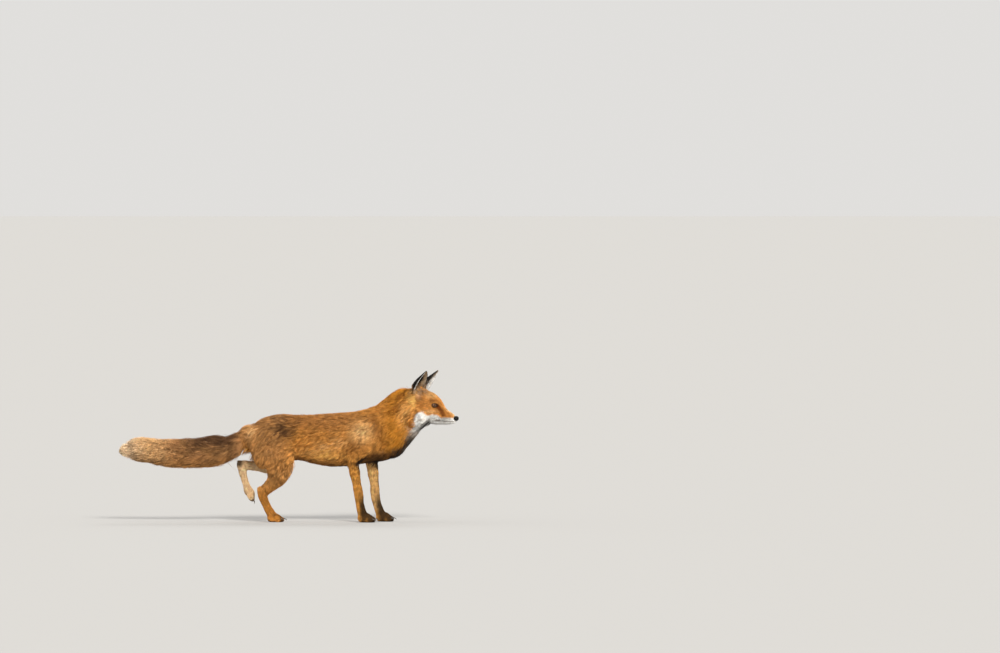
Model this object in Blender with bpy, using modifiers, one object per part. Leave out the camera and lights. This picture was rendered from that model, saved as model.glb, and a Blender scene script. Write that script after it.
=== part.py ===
"""A life-size red fox in mid-walk, head raised, as a still museum model.

The fox faces +X, its left side is +Y and +Z is up. Three paws stand on the floor at z = 0; the left
hind foot has just left it. The flesh is modelled as one closed body, out to the tips of the coat:
lofts along the spine, the tail and the limbs, with ellipsoids for cheeks, brows, toes and heels,
all fused by a voxel remesh. Thin cuts then part it into named pieces. Ears, eyes, nose and claws
are solids of their own, seated on the body with a hairline gap.
"""

import math
from dataclasses import dataclass

import bmesh
import bpy
from mathutils import Matrix, Vector

# Driving dimensions, in metres.
GAP = 0.0003  # hairline between neighbouring pieces
VOXEL = 0.003  # grain of the fused body
SMOOTHING = 7  # passes that melt the lofts into each other
BODY_TRIANGLES = 3750  # for all the flesh together
RING_SIDES = 28
RINGS_PER_SPAN = 5

HEAD_PIVOT = Vector((0.384, -0.002, 0.372))  # where the skull meets the neck
HEAD_TURN = math.radians(-17)  # towards the fox's right
HEAD_SQUARENESS = 0.85
EYE_RADIUS = 0.0090
EYE_PLACE = Vector((0.0757, 0.0276, -0.0095))  # in the head's frame, left side
NOSE_PLACE = Vector((0.1402, 0.0, -0.0500))
NOSE_RADII = (0.0086, 0.0098, 0.0076)
NOSTRIL_PLACE = Vector((0.1482, 0.0050, -0.0498))
NOSTRIL_RADII = (0.0048, 0.0018, 0.0023)
CLAW_SIDES = 5
CLAW_INSET = 0.0015  # how deep the claw's root line starts inside the toe
CLAW_FLATNESS = 0.8  # a claw's width for its height

# How long each stretch keeps its detail while triangles are taken away.
FACE_WEIGHT = 0.95
SKULL_AND_PAW_WEIGHT = 0.7
LEG_WEIGHT = 0.4
BODY_WEIGHT = 0.1
WEIGHT_FACTOR = 0.008

CUTTER_REACH = 0.2  # cutters go this far past the body
LEAN_HEIGHT = 0.2  # where a leaning inner plane is at its own distance from the midline


@dataclass
class Station:
    """One cross-section of a loft: its centre, half-width across the body and half-depth."""

    x: float
    y: float
    z: float
    width: float
    depth: float


SPINE = [  # from the buttocks to the inside of the skull
    Station(-0.127, 0.0, 0.273, 0.028, 0.028),
    Station(-0.108, 0.0, 0.266, 0.046, 0.048),
    Station(-0.078, 0.0, 0.263, 0.056, 0.061),
    Station(-0.028, 0.0, 0.2626, 0.060, 0.072),
    Station(0.034, 0.0, 0.2623, 0.058, 0.070),
    Station(0.096, 0.0, 0.256, 0.064, 0.079),
    Station(0.158, 0.0, 0.255, 0.070, 0.083),
    Station(0.220, 0.0, 0.262, 0.070, 0.081),
    Station(0.298, 0.0, 0.282, 0.065, 0.085),
    Station(0.339, 0.0, 0.318, 0.058, 0.076),
    Station(0.377, -0.001, 0.352, 0.053, 0.074),
    Station(0.406, -0.003, 0.377, 0.042, 0.058),
]

TAIL = [  # from the sacrum to the tip of the brush
    Station(-0.096, 0.0, 0.279, 0.024, 0.025),
    Station(-0.121, 0.0, 0.277, 0.025, 0.026),
    Station(-0.143, -0.001, 0.260, 0.027, 0.028),
    Station(-0.174, -0.003, 0.237, 0.037, 0.042),
    Station(-0.214, -0.007, 0.223, 0.044, 0.0495),
    Station(-0.260, -0.010, 0.217, 0.043, 0.047),
    Station(-0.307, -0.011, 0.214, 0.042, 0.046),
    Station(-0.353, -0.009, 0.213, 0.040, 0.0435),
    Station(-0.400, -0.004, 0.217, 0.038, 0.0405),
    Station(-0.437, 0.001, 0.223, 0.036, 0.038),
    Station(-0.474, 0.006, 0.225, 0.032, 0.0345),
    Station(-0.502, 0.009, 0.222, 0.024, 0.026),
    Station(-0.521, 0.010, 0.216, 0.010, 0.011),
]

FORELEG_RIGHT = [  # shoulder, upper arm, elbow, forearm, carpus, end of the metacarpus
    Station(0.251, -0.046, 0.291, 0.020, 0.040),
    Station(0.232, -0.050, 0.248, 0.022, 0.042),
    Station(0.201, -0.046, 0.202, 0.020, 0.023),
    Station(0.201, -0.043, 0.177, 0.0170, 0.0185),
    Station(0.205, -0.041, 0.149, 0.0150, 0.0163),
    Station(0.211, -0.040, 0.118, 0.0135, 0.0142),
    Station(0.217, -0.040, 0.084, 0.0145, 0.0145),
    Station(0.220, -0.040, 0.056, 0.0145, 0.0130),
    Station(0.227, -0.040, 0.028, 0.0165, 0.0140),
]

FORELEG_LEFT = [  # the same stretches, one stride ahead
    Station(0.273, 0.046, 0.288, 0.020, 0.040),
    Station(0.272, 0.050, 0.243, 0.022, 0.041),
    Station(0.256, 0.046, 0.198, 0.020, 0.023),
    Station(0.258, 0.043, 0.172, 0.0170, 0.0185),
    Station(0.261, 0.041, 0.143, 0.0150, 0.0163),
    Station(0.265, 0.040, 0.112, 0.0135, 0.0142),
    Station(0.267, 0.040, 0.080, 0.0145, 0.0145),
    Station(0.273, 0.040, 0.053, 0.0145, 0.0130),
    Station(0.282, 0.040, 0.027, 0.0165, 0.0140),
]

THIGH_RIGHT = [  # hip, thigh, knee, calf, hock
    Station(-0.059, -0.034, 0.291, 0.022, 0.060),
    Station(-0.050, -0.039, 0.248, 0.027, 0.073),
    Station(-0.040, -0.041, 0.208, 0.027, 0.070),
    Station(-0.028, -0.042, 0.177, 0.024, 0.051),
    Station(-0.031, -0.041, 0.149, 0.0205, 0.036),
    Station(-0.047, -0.037, 0.124, 0.0170, 0.025),
    Station(-0.068, -0.032, 0.104, 0.0145, 0.018),
    Station(-0.083, -0.028, 0.090, 0.0135, 0.0155),
]

FOOT_RIGHT = [  # hock to the end of the metatarsus
    Station(-0.086, -0.029, 0.101, 0.0125, 0.0125),
    Station(-0.083, -0.026, 0.086, 0.0135, 0.0145),
    Station(-0.076, -0.021, 0.066, 0.0130, 0.0132),
    Station(-0.064, -0.014, 0.040, 0.0140, 0.0130),
    Station(-0.053, -0.010, 0.024, 0.0160, 0.0140),
]

THIGH_LEFT = [  # hip, thigh, knee
    Station(-0.059, 0.034, 0.291, 0.022, 0.060),
    Station(-0.053, 0.039, 0.248, 0.027, 0.068),
    Station(-0.040, 0.041, 0.208, 0.026, 0.062),
    Station(-0.026, 0.044, 0.176, 0.023, 0.040),
    Station(-0.024, 0.045, 0.162, 0.018, 0.026),
]

SHANK_LEFT = [  # knee to the raised hock
    Station(-0.016, 0.045, 0.172, 0.020, 0.026),
    Station(-0.059, 0.044, 0.170, 0.018, 0.023),
    Station(-0.096, 0.042, 0.172, 0.0145, 0.0170),
    Station(-0.130, 0.040, 0.175, 0.0130, 0.0155),
    Station(-0.148, 0.039, 0.176, 0.0130, 0.0150),
]

FOOT_LEFT = [  # hock to the end of the metatarsus, hanging
    Station(-0.151, 0.039, 0.182, 0.0125, 0.0140),
    Station(-0.149, 0.039, 0.168, 0.0130, 0.0140),
    Station(-0.144, 0.038, 0.149, 0.0120, 0.0118),
    Station(-0.137, 0.037, 0.124, 0.0120, 0.0108),
    Station(-0.129, 0.036, 0.100, 0.0140, 0.0125),
]

HEAD = [  # from the nose back to the nape, in the head's frame, level with the muzzle
    Station(0.1400, 0.0, -0.0520, 0.0085, 0.0095),
    Station(0.1350, 0.0, -0.0530, 0.0118, 0.0128),
    Station(0.1200, 0.0, -0.0500, 0.0152, 0.0196),
    Station(0.1035, 0.0, -0.0462, 0.0178, 0.0256),
    Station(0.0905, 0.0, -0.0417, 0.0222, 0.0310),
    Station(0.0775, 0.0, -0.0350, 0.0300, 0.0383),
    Station(0.0640, 0.0, -0.0275, 0.0365, 0.0472),
    Station(0.0450, 0.0, -0.0205, 0.0405, 0.0555),
    Station(0.0255, 0.0, -0.0175, 0.0430, 0.0630),
    Station(0.0060, 0.0, -0.0160, 0.0430, 0.0680),
    Station(-0.0130, 0.0, -0.0140, 0.0400, 0.0650),
    Station(-0.0320, 0.0, -0.0080, 0.0320, 0.0540),
]


@dataclass
class Lump:
    """An ellipsoid that is fused into the body: its centre, its half-sizes and its pitch in degrees."""

    centre: tuple
    radii: tuple
    pitch: float = 0.0
    yaw: float = 0.0


HEAD_LUMPS = [  # in the head's frame; each is made on both sides
    Lump((0.0140, 0.0330, -0.0440), (0.0460, 0.0280, 0.0380), -20, 14),  # cheek ruff
    Lump((0.0460, 0.0265, -0.0300), (0.0330, 0.0165, 0.0270), -10, 14),  # cheekbone
    Lump((0.0760, 0.0185, -0.0020), (0.0150, 0.0100, 0.0078), -38, 8),  # brow
    Lump((0.0200, 0.0280, 0.0240), (0.0220, 0.0130, 0.0180), 0, 0),  # root of the ear
    Lump((0.1130, 0.0085, -0.0545), (0.0200, 0.0085, 0.0080), 3, 0),  # upper lip
]

BODY_LUMPS = [
    Lump((0.318, 0.0, 0.243), (0.045, 0.047, 0.046), -35),  # forechest
    Lump((0.345, 0.0, 0.258), (0.040, 0.040, 0.034), -45),  # throat
    Lump((0.250, 0.0, 0.216), (0.060, 0.046, 0.030), 0),  # breastbone
    Lump((-0.157, 0.039, 0.184), (0.0075, 0.0080, 0.0085), 0),  # left heel
    Lump((-0.093, -0.030, 0.105), (0.0070, 0.0075, 0.0100), 15),  # right heel
]


@dataclass
class Paw:
    """A paw: the point on its sole under the ball, its heading, its pitch and its size."""

    name: str
    place: tuple
    yaw: float = 0.0
    pitch: float = 0.0
    size: float = 1.0

    def matrix(self):
        turn = Matrix.Rotation(math.radians(self.yaw), 4, "Z")
        tip = Matrix.Rotation(math.radians(self.pitch), 4, "Y")
        return Matrix.Translation(self.place) @ turn @ tip @ Matrix.Scale(self.size, 4)


PAWS = [
    Paw("fore_right", (0.239, -0.040, 0.0), yaw=-4),
    Paw("fore_left", (0.295, 0.040, 0.0), yaw=3),
    Paw("hind_right", (-0.043, -0.009, 0.0), yaw=-2, size=0.94),
    Paw("hind_left", (-0.133, 0.036, 0.082), yaw=0, pitch=58, size=0.94),
]

PAW_LUMPS = [  # in the paw's frame: heel pad and back of the paw
    Lump((-0.006, 0.0, 0.0135), (0.0215, 0.0165, 0.0155), 0),
    Lump((0.004, 0.0, 0.0165), (0.0200, 0.0160, 0.0120), 18),
]
TOE_RADII = (0.0125, 0.0078, 0.0105)
TOES = {  # centre of each toe, and the way it points, in degrees
    "inner": ((0.0100, 0.0140, 0.0088), 9),
    "mid_inner": ((0.0190, 0.0062, 0.0092), 3),
    "mid_outer": ((0.0190, -0.0062, 0.0092), -3),
    "outer": ((0.0100, -0.0140, 0.0088), -9),
}


def head_matrix():
    """Where the head's frame stands in the world."""
    return Matrix.Translation(HEAD_PIVOT) @ Matrix.Rotation(HEAD_TURN, 4, "Z")


def clear_scene():
    for obj in list(bpy.data.objects):
        bpy.data.objects.remove(obj, do_unlink=True)


def new_collection(name):
    collection = bpy.data.collections.new(name)
    bpy.context.scene.collection.children.link(collection)
    return collection


def make_material(name, colour, roughness):
    material = bpy.data.materials.new(name)
    material.use_nodes = True
    shader = material.node_tree.nodes["Principled BSDF"]
    shader.inputs["Base Color"].default_value = (*colour, 1.0)
    shader.inputs["Roughness"].default_value = roughness
    shader.inputs["Metallic"].default_value = 0.0
    material.diffuse_color = (*colour, 1.0)
    return material


def object_from(name, bm, collection):
    mesh = bpy.data.meshes.new(name)
    bm.to_mesh(mesh)
    bm.free()
    obj = bpy.data.objects.new(name, mesh)
    collection.objects.link(obj)
    return obj


def between(before, start, end, after, t):
    """A point of the smooth curve through four values, a share t of the way from start to end."""
    return 0.5 * (
        2 * start
        + (end - before) * t
        + (2 * before - 5 * start + 4 * end - after) * t**2
        + (3 * start - before - 3 * end + after) * t**3
    )


def smooth_stations(stations):
    """The loft's rings: (centre, half-width, half-depth), with more rings between the stations."""
    knots = [(Vector((s.x, s.y, s.z)), s.width, s.depth) for s in stations]
    padded = [knots[0]] + knots + [knots[-1]]
    rings = []
    for i in range(len(knots) - 1):
        for step in range(RINGS_PER_SPAN):
            t = step / RINGS_PER_SPAN
            rings.append(tuple(between(*column, t) for column in zip(*padded[i : i + 4])))
    rings.append(knots[-1])
    return rings


def add_loft(bm, stations, matrix=None, power=1.0):
    """Skins rings along the stations, elliptical or squarer if power is under 1, and caps the ends."""
    matrix = matrix or Matrix.Identity(4)
    rings = smooth_stations(stations)
    centres = [ring[0] for ring in rings]
    loops = []
    for i, (centre, width, depth) in enumerate(rings):
        along = (centres[min(i + 1, len(rings) - 1)] - centres[max(i - 1, 0)]).normalized()
        side = (Vector((0, 1, 0)) - along * along.y).normalized()
        up = along.cross(side)
        loop = []
        for k in range(RING_SIDES):
            angle = 2 * math.pi * k / RING_SIDES
            across = math.copysign(abs(math.cos(angle)) ** power, math.cos(angle))
            upward = math.copysign(abs(math.sin(angle)) ** power, math.sin(angle))
            spot = centre + side * width * across + up * depth * upward
            loop.append(bm.verts.new(matrix @ spot))
        loops.append(loop)
    for near, far in zip(loops, loops[1:]):
        for k in range(RING_SIDES):
            after = (k + 1) % RING_SIDES
            bm.faces.new((near[k], near[after], far[after], far[k]))
    for loop, (centre, width, depth), inner in (
        (loops[0], rings[0], centres[1]),
        (loops[-1], rings[-1], centres[-2]),
    ):
        out = (centre - inner).normalized()
        pole = bm.verts.new(matrix @ (centre + out * 0.5 * min(width, depth)))
        for k in range(RING_SIDES):
            bm.faces.new((loop[k], pole, loop[(k + 1) % RING_SIDES]))


def add_ellipsoid(bm, centre, radii, pitch, yaw, matrix=None):
    """A sphere stretched to the radii, pitched nose-down and then turned."""
    turn = Matrix.Rotation(math.radians(yaw), 4, "Z") @ Matrix.Rotation(math.radians(pitch), 4, "Y")
    place = (matrix or Matrix.Identity(4)) @ Matrix.Translation(centre) @ turn
    place = place @ Matrix.Diagonal((*radii, 1.0))
    bmesh.ops.create_uvsphere(bm, u_segments=20, v_segments=12, radius=1.0, matrix=place)


def add_both_sides(bm, lump, matrix):
    for side in (1, -1):
        x, y, z = lump.centre
        add_ellipsoid(bm, (x, side * y, z), lump.radii, -lump.pitch, side * lump.yaw, matrix)


def add_paw(bm, paw):
    for lump in PAW_LUMPS:
        add_ellipsoid(bm, lump.centre, lump.radii, lump.pitch, 0, paw.matrix())
    for centre, splay in TOES.values():
        add_ellipsoid(bm, centre, TOE_RADII, 4, splay, paw.matrix())


def activate(obj):
    bpy.ops.object.select_all(action="DESELECT")
    obj.select_set(True)
    bpy.context.view_layer.objects.active = obj


def apply_modifiers(obj):
    """Replaces obj's mesh by the evaluated one, and drops the modifiers."""
    graph = bpy.context.evaluated_depsgraph_get()
    mesh = bpy.data.meshes.new_from_object(obj.evaluated_get(graph))
    obj.modifiers.clear()
    obj.data = mesh


def fine_places(obj, group_name):
    """Marks the places that lose detail last when triangles are taken away: head and paws."""
    group = obj.vertex_groups.new(name=group_name)
    into_head = head_matrix().inverted()
    for vertex in obj.data.vertices:
        inside = into_head @ vertex.co
        if inside.x > 0.05:
            weight = FACE_WEIGHT
        elif inside.x > 0.0 and inside.z > -0.1:
            weight = SKULL_AND_PAW_WEIGHT
        elif vertex.co.z < 0.03:
            weight = SKULL_AND_PAW_WEIGHT
        elif vertex.co.z < 0.2:
            weight = LEG_WEIGHT
        else:
            weight = BODY_WEIGHT
        group.add([vertex.index], weight, "REPLACE")


def fuse_body(collection):
    """The whole fox without ears, eyes, nose and claws, as one closed mesh."""
    bm = bmesh.new()
    lofts = (SPINE, TAIL, FORELEG_RIGHT, FORELEG_LEFT, THIGH_RIGHT, FOOT_RIGHT)
    for stations in (*lofts, THIGH_LEFT, SHANK_LEFT, FOOT_LEFT):
        add_loft(bm, stations)
    add_loft(bm, HEAD, head_matrix(), HEAD_SQUARENESS)
    for lump in HEAD_LUMPS:
        add_both_sides(bm, lump, head_matrix())
    for lump in BODY_LUMPS:
        add_ellipsoid(bm, lump.centre, lump.radii, lump.pitch, 0)
    for paw in PAWS:
        add_paw(bm, paw)
    bmesh.ops.recalc_face_normals(bm, faces=bm.faces)
    body = object_from("body", bm, collection)
    remesh = body.modifiers.new("fuse", "REMESH")
    remesh.mode = "VOXEL"
    remesh.voxel_size = VOXEL
    smooth = body.modifiers.new("melt", "SMOOTH")
    smooth.factor = 0.5
    smooth.iterations = SMOOTHING
    apply_modifiers(body)
    fine_places(body, "fine")
    thin = body.modifiers.new("thin", "DECIMATE")
    thin.ratio = BODY_TRIANGLES / (2 * len(body.data.polygons))
    thin.vertex_group = "fine"
    thin.invert_vertex_group = True
    thin.vertex_group_factor = WEIGHT_FACTOR
    apply_modifiers(body)
    body.vertex_groups.clear()
    return body


def copy_of(obj, name, collection):
    copy = bpy.data.objects.new(name, obj.data.copy())
    collection.objects.link(copy)
    return copy


def boolean(obj, other, operation):
    """Cuts other out of obj, or keeps what they share, and applies it."""
    modifier = obj.modifiers.new(operation.lower(), "BOOLEAN")
    modifier.solver = "EXACT"
    modifier.operation = operation
    modifier.object = other
    apply_modifiers(obj)


def grown(obj, collection, by=GAP):
    """A copy of obj whose surface stands out by the gap."""
    bm = bmesh.new()
    bm.from_mesh(obj.data)
    bmesh.ops.recalc_face_normals(bm, faces=bm.faces)
    bm.normal_update()
    moves = [vert.normal * by * vert.calc_shell_factor() for vert in bm.verts]
    for vert, move in zip(bm.verts, moves):
        vert.co += move
    return object_from(f"{obj.name}_grown", bm, collection)


def keep_largest(obj):
    """Drops crumbs: only the biggest connected piece stays."""
    bm = bmesh.new()
    bm.from_mesh(obj.data)
    left = set(bm.verts)
    islands = []
    while left:
        island = {left.pop()}
        front = list(island)
        while front:
            vert = front.pop()
            for edge in vert.link_edges:
                other = edge.other_vert(vert)
                if other in left:
                    left.discard(other)
                    island.add(other)
                    front.append(other)
        islands.append(island)
    islands.sort(key=len, reverse=True)
    crumbs = [vert for island in islands[1:] for vert in island]
    bmesh.ops.delete(bm, geom=crumbs, context="VERTS")
    bm.to_mesh(obj.data)
    bm.free()


@dataclass
class Cut:
    """The room of one piece: its outline in side view, between an inner plane and the open side."""

    name: str
    outline: tuple  # corners (x, z)
    side: int = 0  # 1 is left, -1 right, 0 takes the whole width
    inner: float = 0.002  # from the midline to the inner plane, at LEAN_HEIGHT
    lean: float = 0.0  # how much further out it is per metre of height
    in_head: bool = False


def cutter_for(cut, cutters):
    """The cut's room as a prism."""
    matrix = head_matrix() if cut.in_head else Matrix.Identity(4)
    bm = bmesh.new()
    faces = []
    for outer in (True, False):
        loop = []
        for x, z in cut.outline:
            inner = (cut.inner + cut.lean * (z - LEAN_HEIGHT)) * cut.side
            open_side = CUTTER_REACH * (cut.side or 1)
            y = open_side if outer else (inner if cut.side else -CUTTER_REACH)
            loop.append(bm.verts.new(matrix @ Vector((x, y, z))))
        faces.append(loop)
        bm.faces.new(loop)
    for k in range(len(cut.outline)):
        after = (k + 1) % len(cut.outline)
        bm.faces.new((faces[0][k], faces[0][after], faces[1][after], faces[1][k]))
    bmesh.ops.recalc_face_normals(bm, faces=bm.faces)
    return object_from(f"{cut.name}_room", bm, cutters)


HAUNCH = (  # the thigh's front and upper edges, and down behind it
    (0.030, 0.128),
    (0.024, 0.222),
    (-0.006, 0.272),
    (-0.038, 0.312),
    (-0.080, 0.316),
    (-0.109, 0.288),
    (-0.121, 0.245),
)

CUTS = [  # in the order in which they leave the body
    Cut(
        "head",
        (
            (0.376, 0.60),
            (0.372, 0.40),
            (0.374, 0.33),
            (0.394, 0.26),
            (0.40, 0.20),
            (0.62, 0.20),
            (0.62, 0.60),
        ),
    ),
    Cut("neck", ((0.205, 0.450), (0.350, 0.205), (0.480, 0.205), (0.480, 0.480), (0.30, 0.50))),
    Cut("tail_tip", ((-0.60, 0.10), (-0.449, 0.10), (-0.438, 0.30), (-0.60, 0.30))),
    Cut("tail", ((-0.118, 0.330), (-0.1475, 0.2260), (-0.186, 0.150), (-0.60, 0.10), (-0.60, 0.330))),
    Cut("hindpaw_left", ((-0.20, 0.107), (-0.06, 0.095), (-0.06, -0.05), (-0.20, -0.05)), 1),
    Cut(
        "pastern_left",
        (
            (-0.1415, 0.215),
            (-0.1395, 0.1575),
            (-0.11, 0.148),
            (-0.06, 0.148),
            (-0.06, 0.05),
            (-0.20, 0.05),
            (-0.20, 0.215),
        ),
        1,
    ),
    Cut(
        "calf_left",
        (
            (-0.075, 0.198),
            (-0.048, 0.190),
            (-0.012, 0.130),
            (-0.20, 0.12),
            (-0.20, 0.198),
        ),
        1,
        0.008,
    ),
    Cut(
        "thigh_left",
        (
            *HAUNCH,
            (-0.121, 0.205),
            (-0.110, 0.170),
            (-0.06, 0.128),
        ),
        1,
        0.010,
        0.25,
    ),
    Cut("hindpaw_right", ((-0.20, 0.035), (0.10, 0.035), (0.10, -0.05), (-0.20, -0.05)), -1),
    Cut(
        "pastern_right",
        (
            (-0.13, 0.150),
            (-0.040, 0.062),
            (0.0, 0.030),
            (-0.20, 0.02),
            (-0.20, 0.15),
        ),
        -1,
    ),
    Cut(
        "calf_right",
        (
            (-0.105, 0.150),
            (0.040, 0.186),
            (0.040, 0.0),
            (-0.20, 0.0),
            (-0.20, 0.15),
        ),
        -1,
        0.004,
    ),
    Cut("thigh_right", (*HAUNCH, (-0.121, 0.205), (-0.110, 0.128)), -1, 0.010, 0.25),
    Cut("forepaw_right", ((0.10, 0.062), (0.30, 0.062), (0.30, -0.05), (0.10, -0.05)), -1),
    Cut(
        "forearm_right",
        (
            (0.165, 0.1690),
            (0.25, 0.1785),
            (0.30, 0.1785),
            (0.30, 0.04),
            (0.165, 0.04),
        ),
        -1,
        0.006,
    ),
    Cut(
        "upper_foreleg_right",
        (
            (0.168, 0.150),
            (0.172, 0.214),
            (0.186, 0.256),
            (0.206, 0.305),
            (0.236, 0.330),
            (0.268, 0.322),
            (0.286, 0.290),
            (0.272, 0.246),
            (0.246, 0.205),
            (0.240, 0.150),
        ),
        -1,
        0.014,
        0.25,
    ),
    Cut("forepaw_left", ((0.16, 0.060), (0.36, 0.060), (0.36, -0.05), (0.16, -0.05)), 1),
    Cut(
        "forearm_left",
        (
            (0.215, 0.1700),
            (0.30, 0.1830),
            (0.36, 0.1830),
            (0.36, 0.04),
            (0.215, 0.04),
        ),
        1,
        0.006,
    ),
    Cut(
        "upper_foreleg_left",
        (
            (0.220, 0.150),
            (0.224, 0.210),
            (0.228, 0.256),
            (0.234, 0.305),
            (0.252, 0.325),
            (0.270, 0.322),
            (0.297, 0.290),
            (0.303, 0.246),
            (0.292, 0.205),
            (0.290, 0.150),
        ),
        1,
        0.014,
        0.25,
    ),
]
JAW = Cut(
    "lower_jaw",
    ((0.170, -0.0605), (0.0720, -0.0575), (0.0560, -0.0660), (0.0500, -0.110), (0.170, -0.110)),
    in_head=True,
)


def part_off(body, cut, fox, cutters):
    """Takes the piece in the cut's room off the body, and a gap with it."""
    room = cutter_for(cut, cutters)
    piece = copy_of(body, cut.name, fox)
    boolean(piece, room, "INTERSECT")
    keep_largest(piece)
    boolean(body, grown(room, cutters), "DIFFERENCE")
    keep_largest(body)
    return piece


def seat(host, guest, cutters):
    """Opens a pocket in the host for the guest's foot, a gap wider all round."""
    boolean(host, grown(guest, cutters), "DIFFERENCE")
    keep_largest(host)


def make_ball(name, centre, radii, collection, segments=16, rings=10, yaw=0.0, pitch=0.0):
    bm = bmesh.new()
    turn = Matrix.Rotation(math.radians(yaw), 4, "Z") @ Matrix.Rotation(math.radians(pitch), 4, "Y")
    place = head_matrix() @ Matrix.Translation(centre) @ turn @ Matrix.Diagonal((*radii, 1.0))
    bmesh.ops.create_uvsphere(bm, u_segments=segments, v_segments=rings, radius=1.0, matrix=place)
    return object_from(name, bm, collection)


@dataclass
class EarRing:
    """One section of the ear: a share of its height, half-width, depth of the shell, wall, hollow."""

    share: float
    width: float
    depth: float
    wall: float
    hollow: float


EAR_RINGS = [
    EarRing(0.00, 0.0170, 0.0165, 0.0040, 0.0),
    EarRing(0.14, 0.0222, 0.0200, 0.0040, 0.25),
    EarRing(0.27, 0.0254, 0.0215, 0.0036, 0.80),
    EarRing(0.42, 0.0256, 0.0195, 0.0032, 1.0),
    EarRing(0.60, 0.0220, 0.0145, 0.0029, 1.0),
    EarRing(0.77, 0.0154, 0.0088, 0.0026, 1.0),
    EarRing(0.91, 0.0082, 0.0046, 0.0022, 1.0),
    EarRing(1.00, 0.0026, 0.0018, 0.0012, 1.0),
]
EAR_ARC = 7  # points along each side of the shell
EAR_CURL = 0.0008  # how far the middle of the ear bows back


@dataclass
class EarLine:
    """How one ear stands, in the head's frame: its root, its tip, and the way its cup faces."""

    root: Vector
    tip: Vector
    opening: Vector


EARS = {
    "left": EarLine(
        Vector((0.0245, 0.0335, 0.0265)),
        Vector((0.0635, 0.0605, 0.0965)),
        Vector((0.985, 0.17, 0.0)),
    ),
    "right": EarLine(
        Vector((0.0232, -0.0335, 0.0265)),
        Vector((0.0635, -0.0605, 0.0965)),
        Vector((0.93, -0.37, 0.0)),
    ),
}


def make_ear(name, line, collection):
    """An upright shell, hollow in front, with a rounded tip."""
    along = (line.tip - line.root).normalized()
    facing = (line.opening - along * line.opening.dot(along)).normalized()
    across = along.cross(facing)
    bm = bmesh.new()
    loops = []
    for ring in EAR_RINGS:
        bow = EAR_CURL * math.sin(math.pi * ring.share)
        centre = line.root.lerp(line.tip, ring.share) - facing * bow
        loop = []
        for k in range(EAR_ARC):
            angle = math.pi * (k / (EAR_ARC - 1) - 0.5)
            back = -ring.depth * math.cos(angle)
            loop.append(centre + across * ring.width * math.sin(angle) + facing * back)
        for k in range(EAR_ARC):
            angle = math.pi * (0.5 - k / (EAR_ARC - 1))
            back = -(ring.depth - ring.wall) * ring.hollow * math.cos(angle)
            wide = (ring.width - ring.wall) * math.sin(angle)
            loop.append(centre + across * wide + facing * back)
        loops.append([bm.verts.new(head_matrix() @ spot) for spot in loop])
    count = 2 * EAR_ARC
    for near, far in zip(loops, loops[1:]):
        for k in range(count):
            bm.faces.new((near[k], near[(k + 1) % count], far[(k + 1) % count], far[k]))
    bm.faces.new(loops[0])
    bm.faces.new(loops[-1])
    bmesh.ops.recalc_face_normals(bm, faces=bm.faces)
    bmesh.ops.triangulate(bm, faces=bm.faces)
    return object_from(name, bm, collection)


CLAW_LINE = [  # from the tip of the toe, in the toe's direction: forward, up, radius
    (-0.0040, 0.0020, 0.0020),
    (0.0010, 0.0022, 0.0019),
    (0.0055, 0.0008, 0.0014),
    (0.0090, -0.0034, 0.0005),
]


def make_claw(name, paw, centre, splay, collection):
    """A curved cone that leaves the toe forward and bends down."""
    turn = Matrix.Rotation(math.radians(splay), 4, "Z")
    place = paw.matrix() @ Matrix.Translation(centre) @ turn
    bm = bmesh.new()
    loops = []
    for forward, up, radius in CLAW_LINE:
        loop = []
        for k in range(CLAW_SIDES):
            angle = 2 * math.pi * k / CLAW_SIDES
            ahead = TOE_RADII[0] - CLAW_INSET + forward
            aside = radius * CLAW_FLATNESS * math.cos(angle)
            above = up + radius * math.sin(angle)
            loop.append(bm.verts.new(place @ Vector((ahead, aside, above))))
        loops.append(loop)
    for near, far in zip(loops, loops[1:]):
        for k in range(CLAW_SIDES):
            after = (k + 1) % CLAW_SIDES
            bm.faces.new((near[k], near[after], far[after], far[k]))
    bm.faces.new(loops[0])
    bm.faces.new(loops[-1])
    bmesh.ops.recalc_face_normals(bm, faces=bm.faces)
    bmesh.ops.triangulate(bm, faces=bm.faces)
    return object_from(name, bm, collection)


def flatten_soles(body, cutters):
    """Cuts everything below the floor off, which leaves small flats under the pads."""
    bm = bmesh.new()
    low = Matrix.Translation((0, 0, -0.1)) @ Matrix.Diagonal((2.0, 1.0, 0.2, 1.0))
    bmesh.ops.create_cube(bm, size=1.0, matrix=low)
    boolean(body, object_from("floor_room", bm, cutters), "DIFFERENCE")


COLOURS = {  # start of the node's name: colour and roughness
    "head": ((0.48, 0.19, 0.055), 0.80),
    "lower_jaw": ((0.70, 0.62, 0.52), 0.80),
    "neck": ((0.46, 0.18, 0.05), 0.85),
    "trunk": ((0.36, 0.17, 0.065), 0.85),
    "tail_tip": ((0.60, 0.42, 0.24), 0.85),
    "tail": ((0.30, 0.15, 0.065), 0.85),
    "thigh": ((0.33, 0.17, 0.075), 0.85),
    "calf": ((0.37, 0.17, 0.065), 0.80),
    "pastern": ((0.34, 0.15, 0.055), 0.80),
    "hindpaw": ((0.12, 0.06, 0.03), 0.80),
    "upper_foreleg": ((0.42, 0.18, 0.055), 0.85),
    "forearm": ((0.36, 0.14, 0.04), 0.80),
    "forepaw": ((0.07, 0.04, 0.025), 0.80),
    "ear": ((0.035, 0.025, 0.02), 0.80),
    "eye": ((0.16, 0.07, 0.015), 0.08),
    "nose": ((0.012, 0.011, 0.011), 0.38),
    "claw": ((0.06, 0.05, 0.042), 0.45),
}


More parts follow.
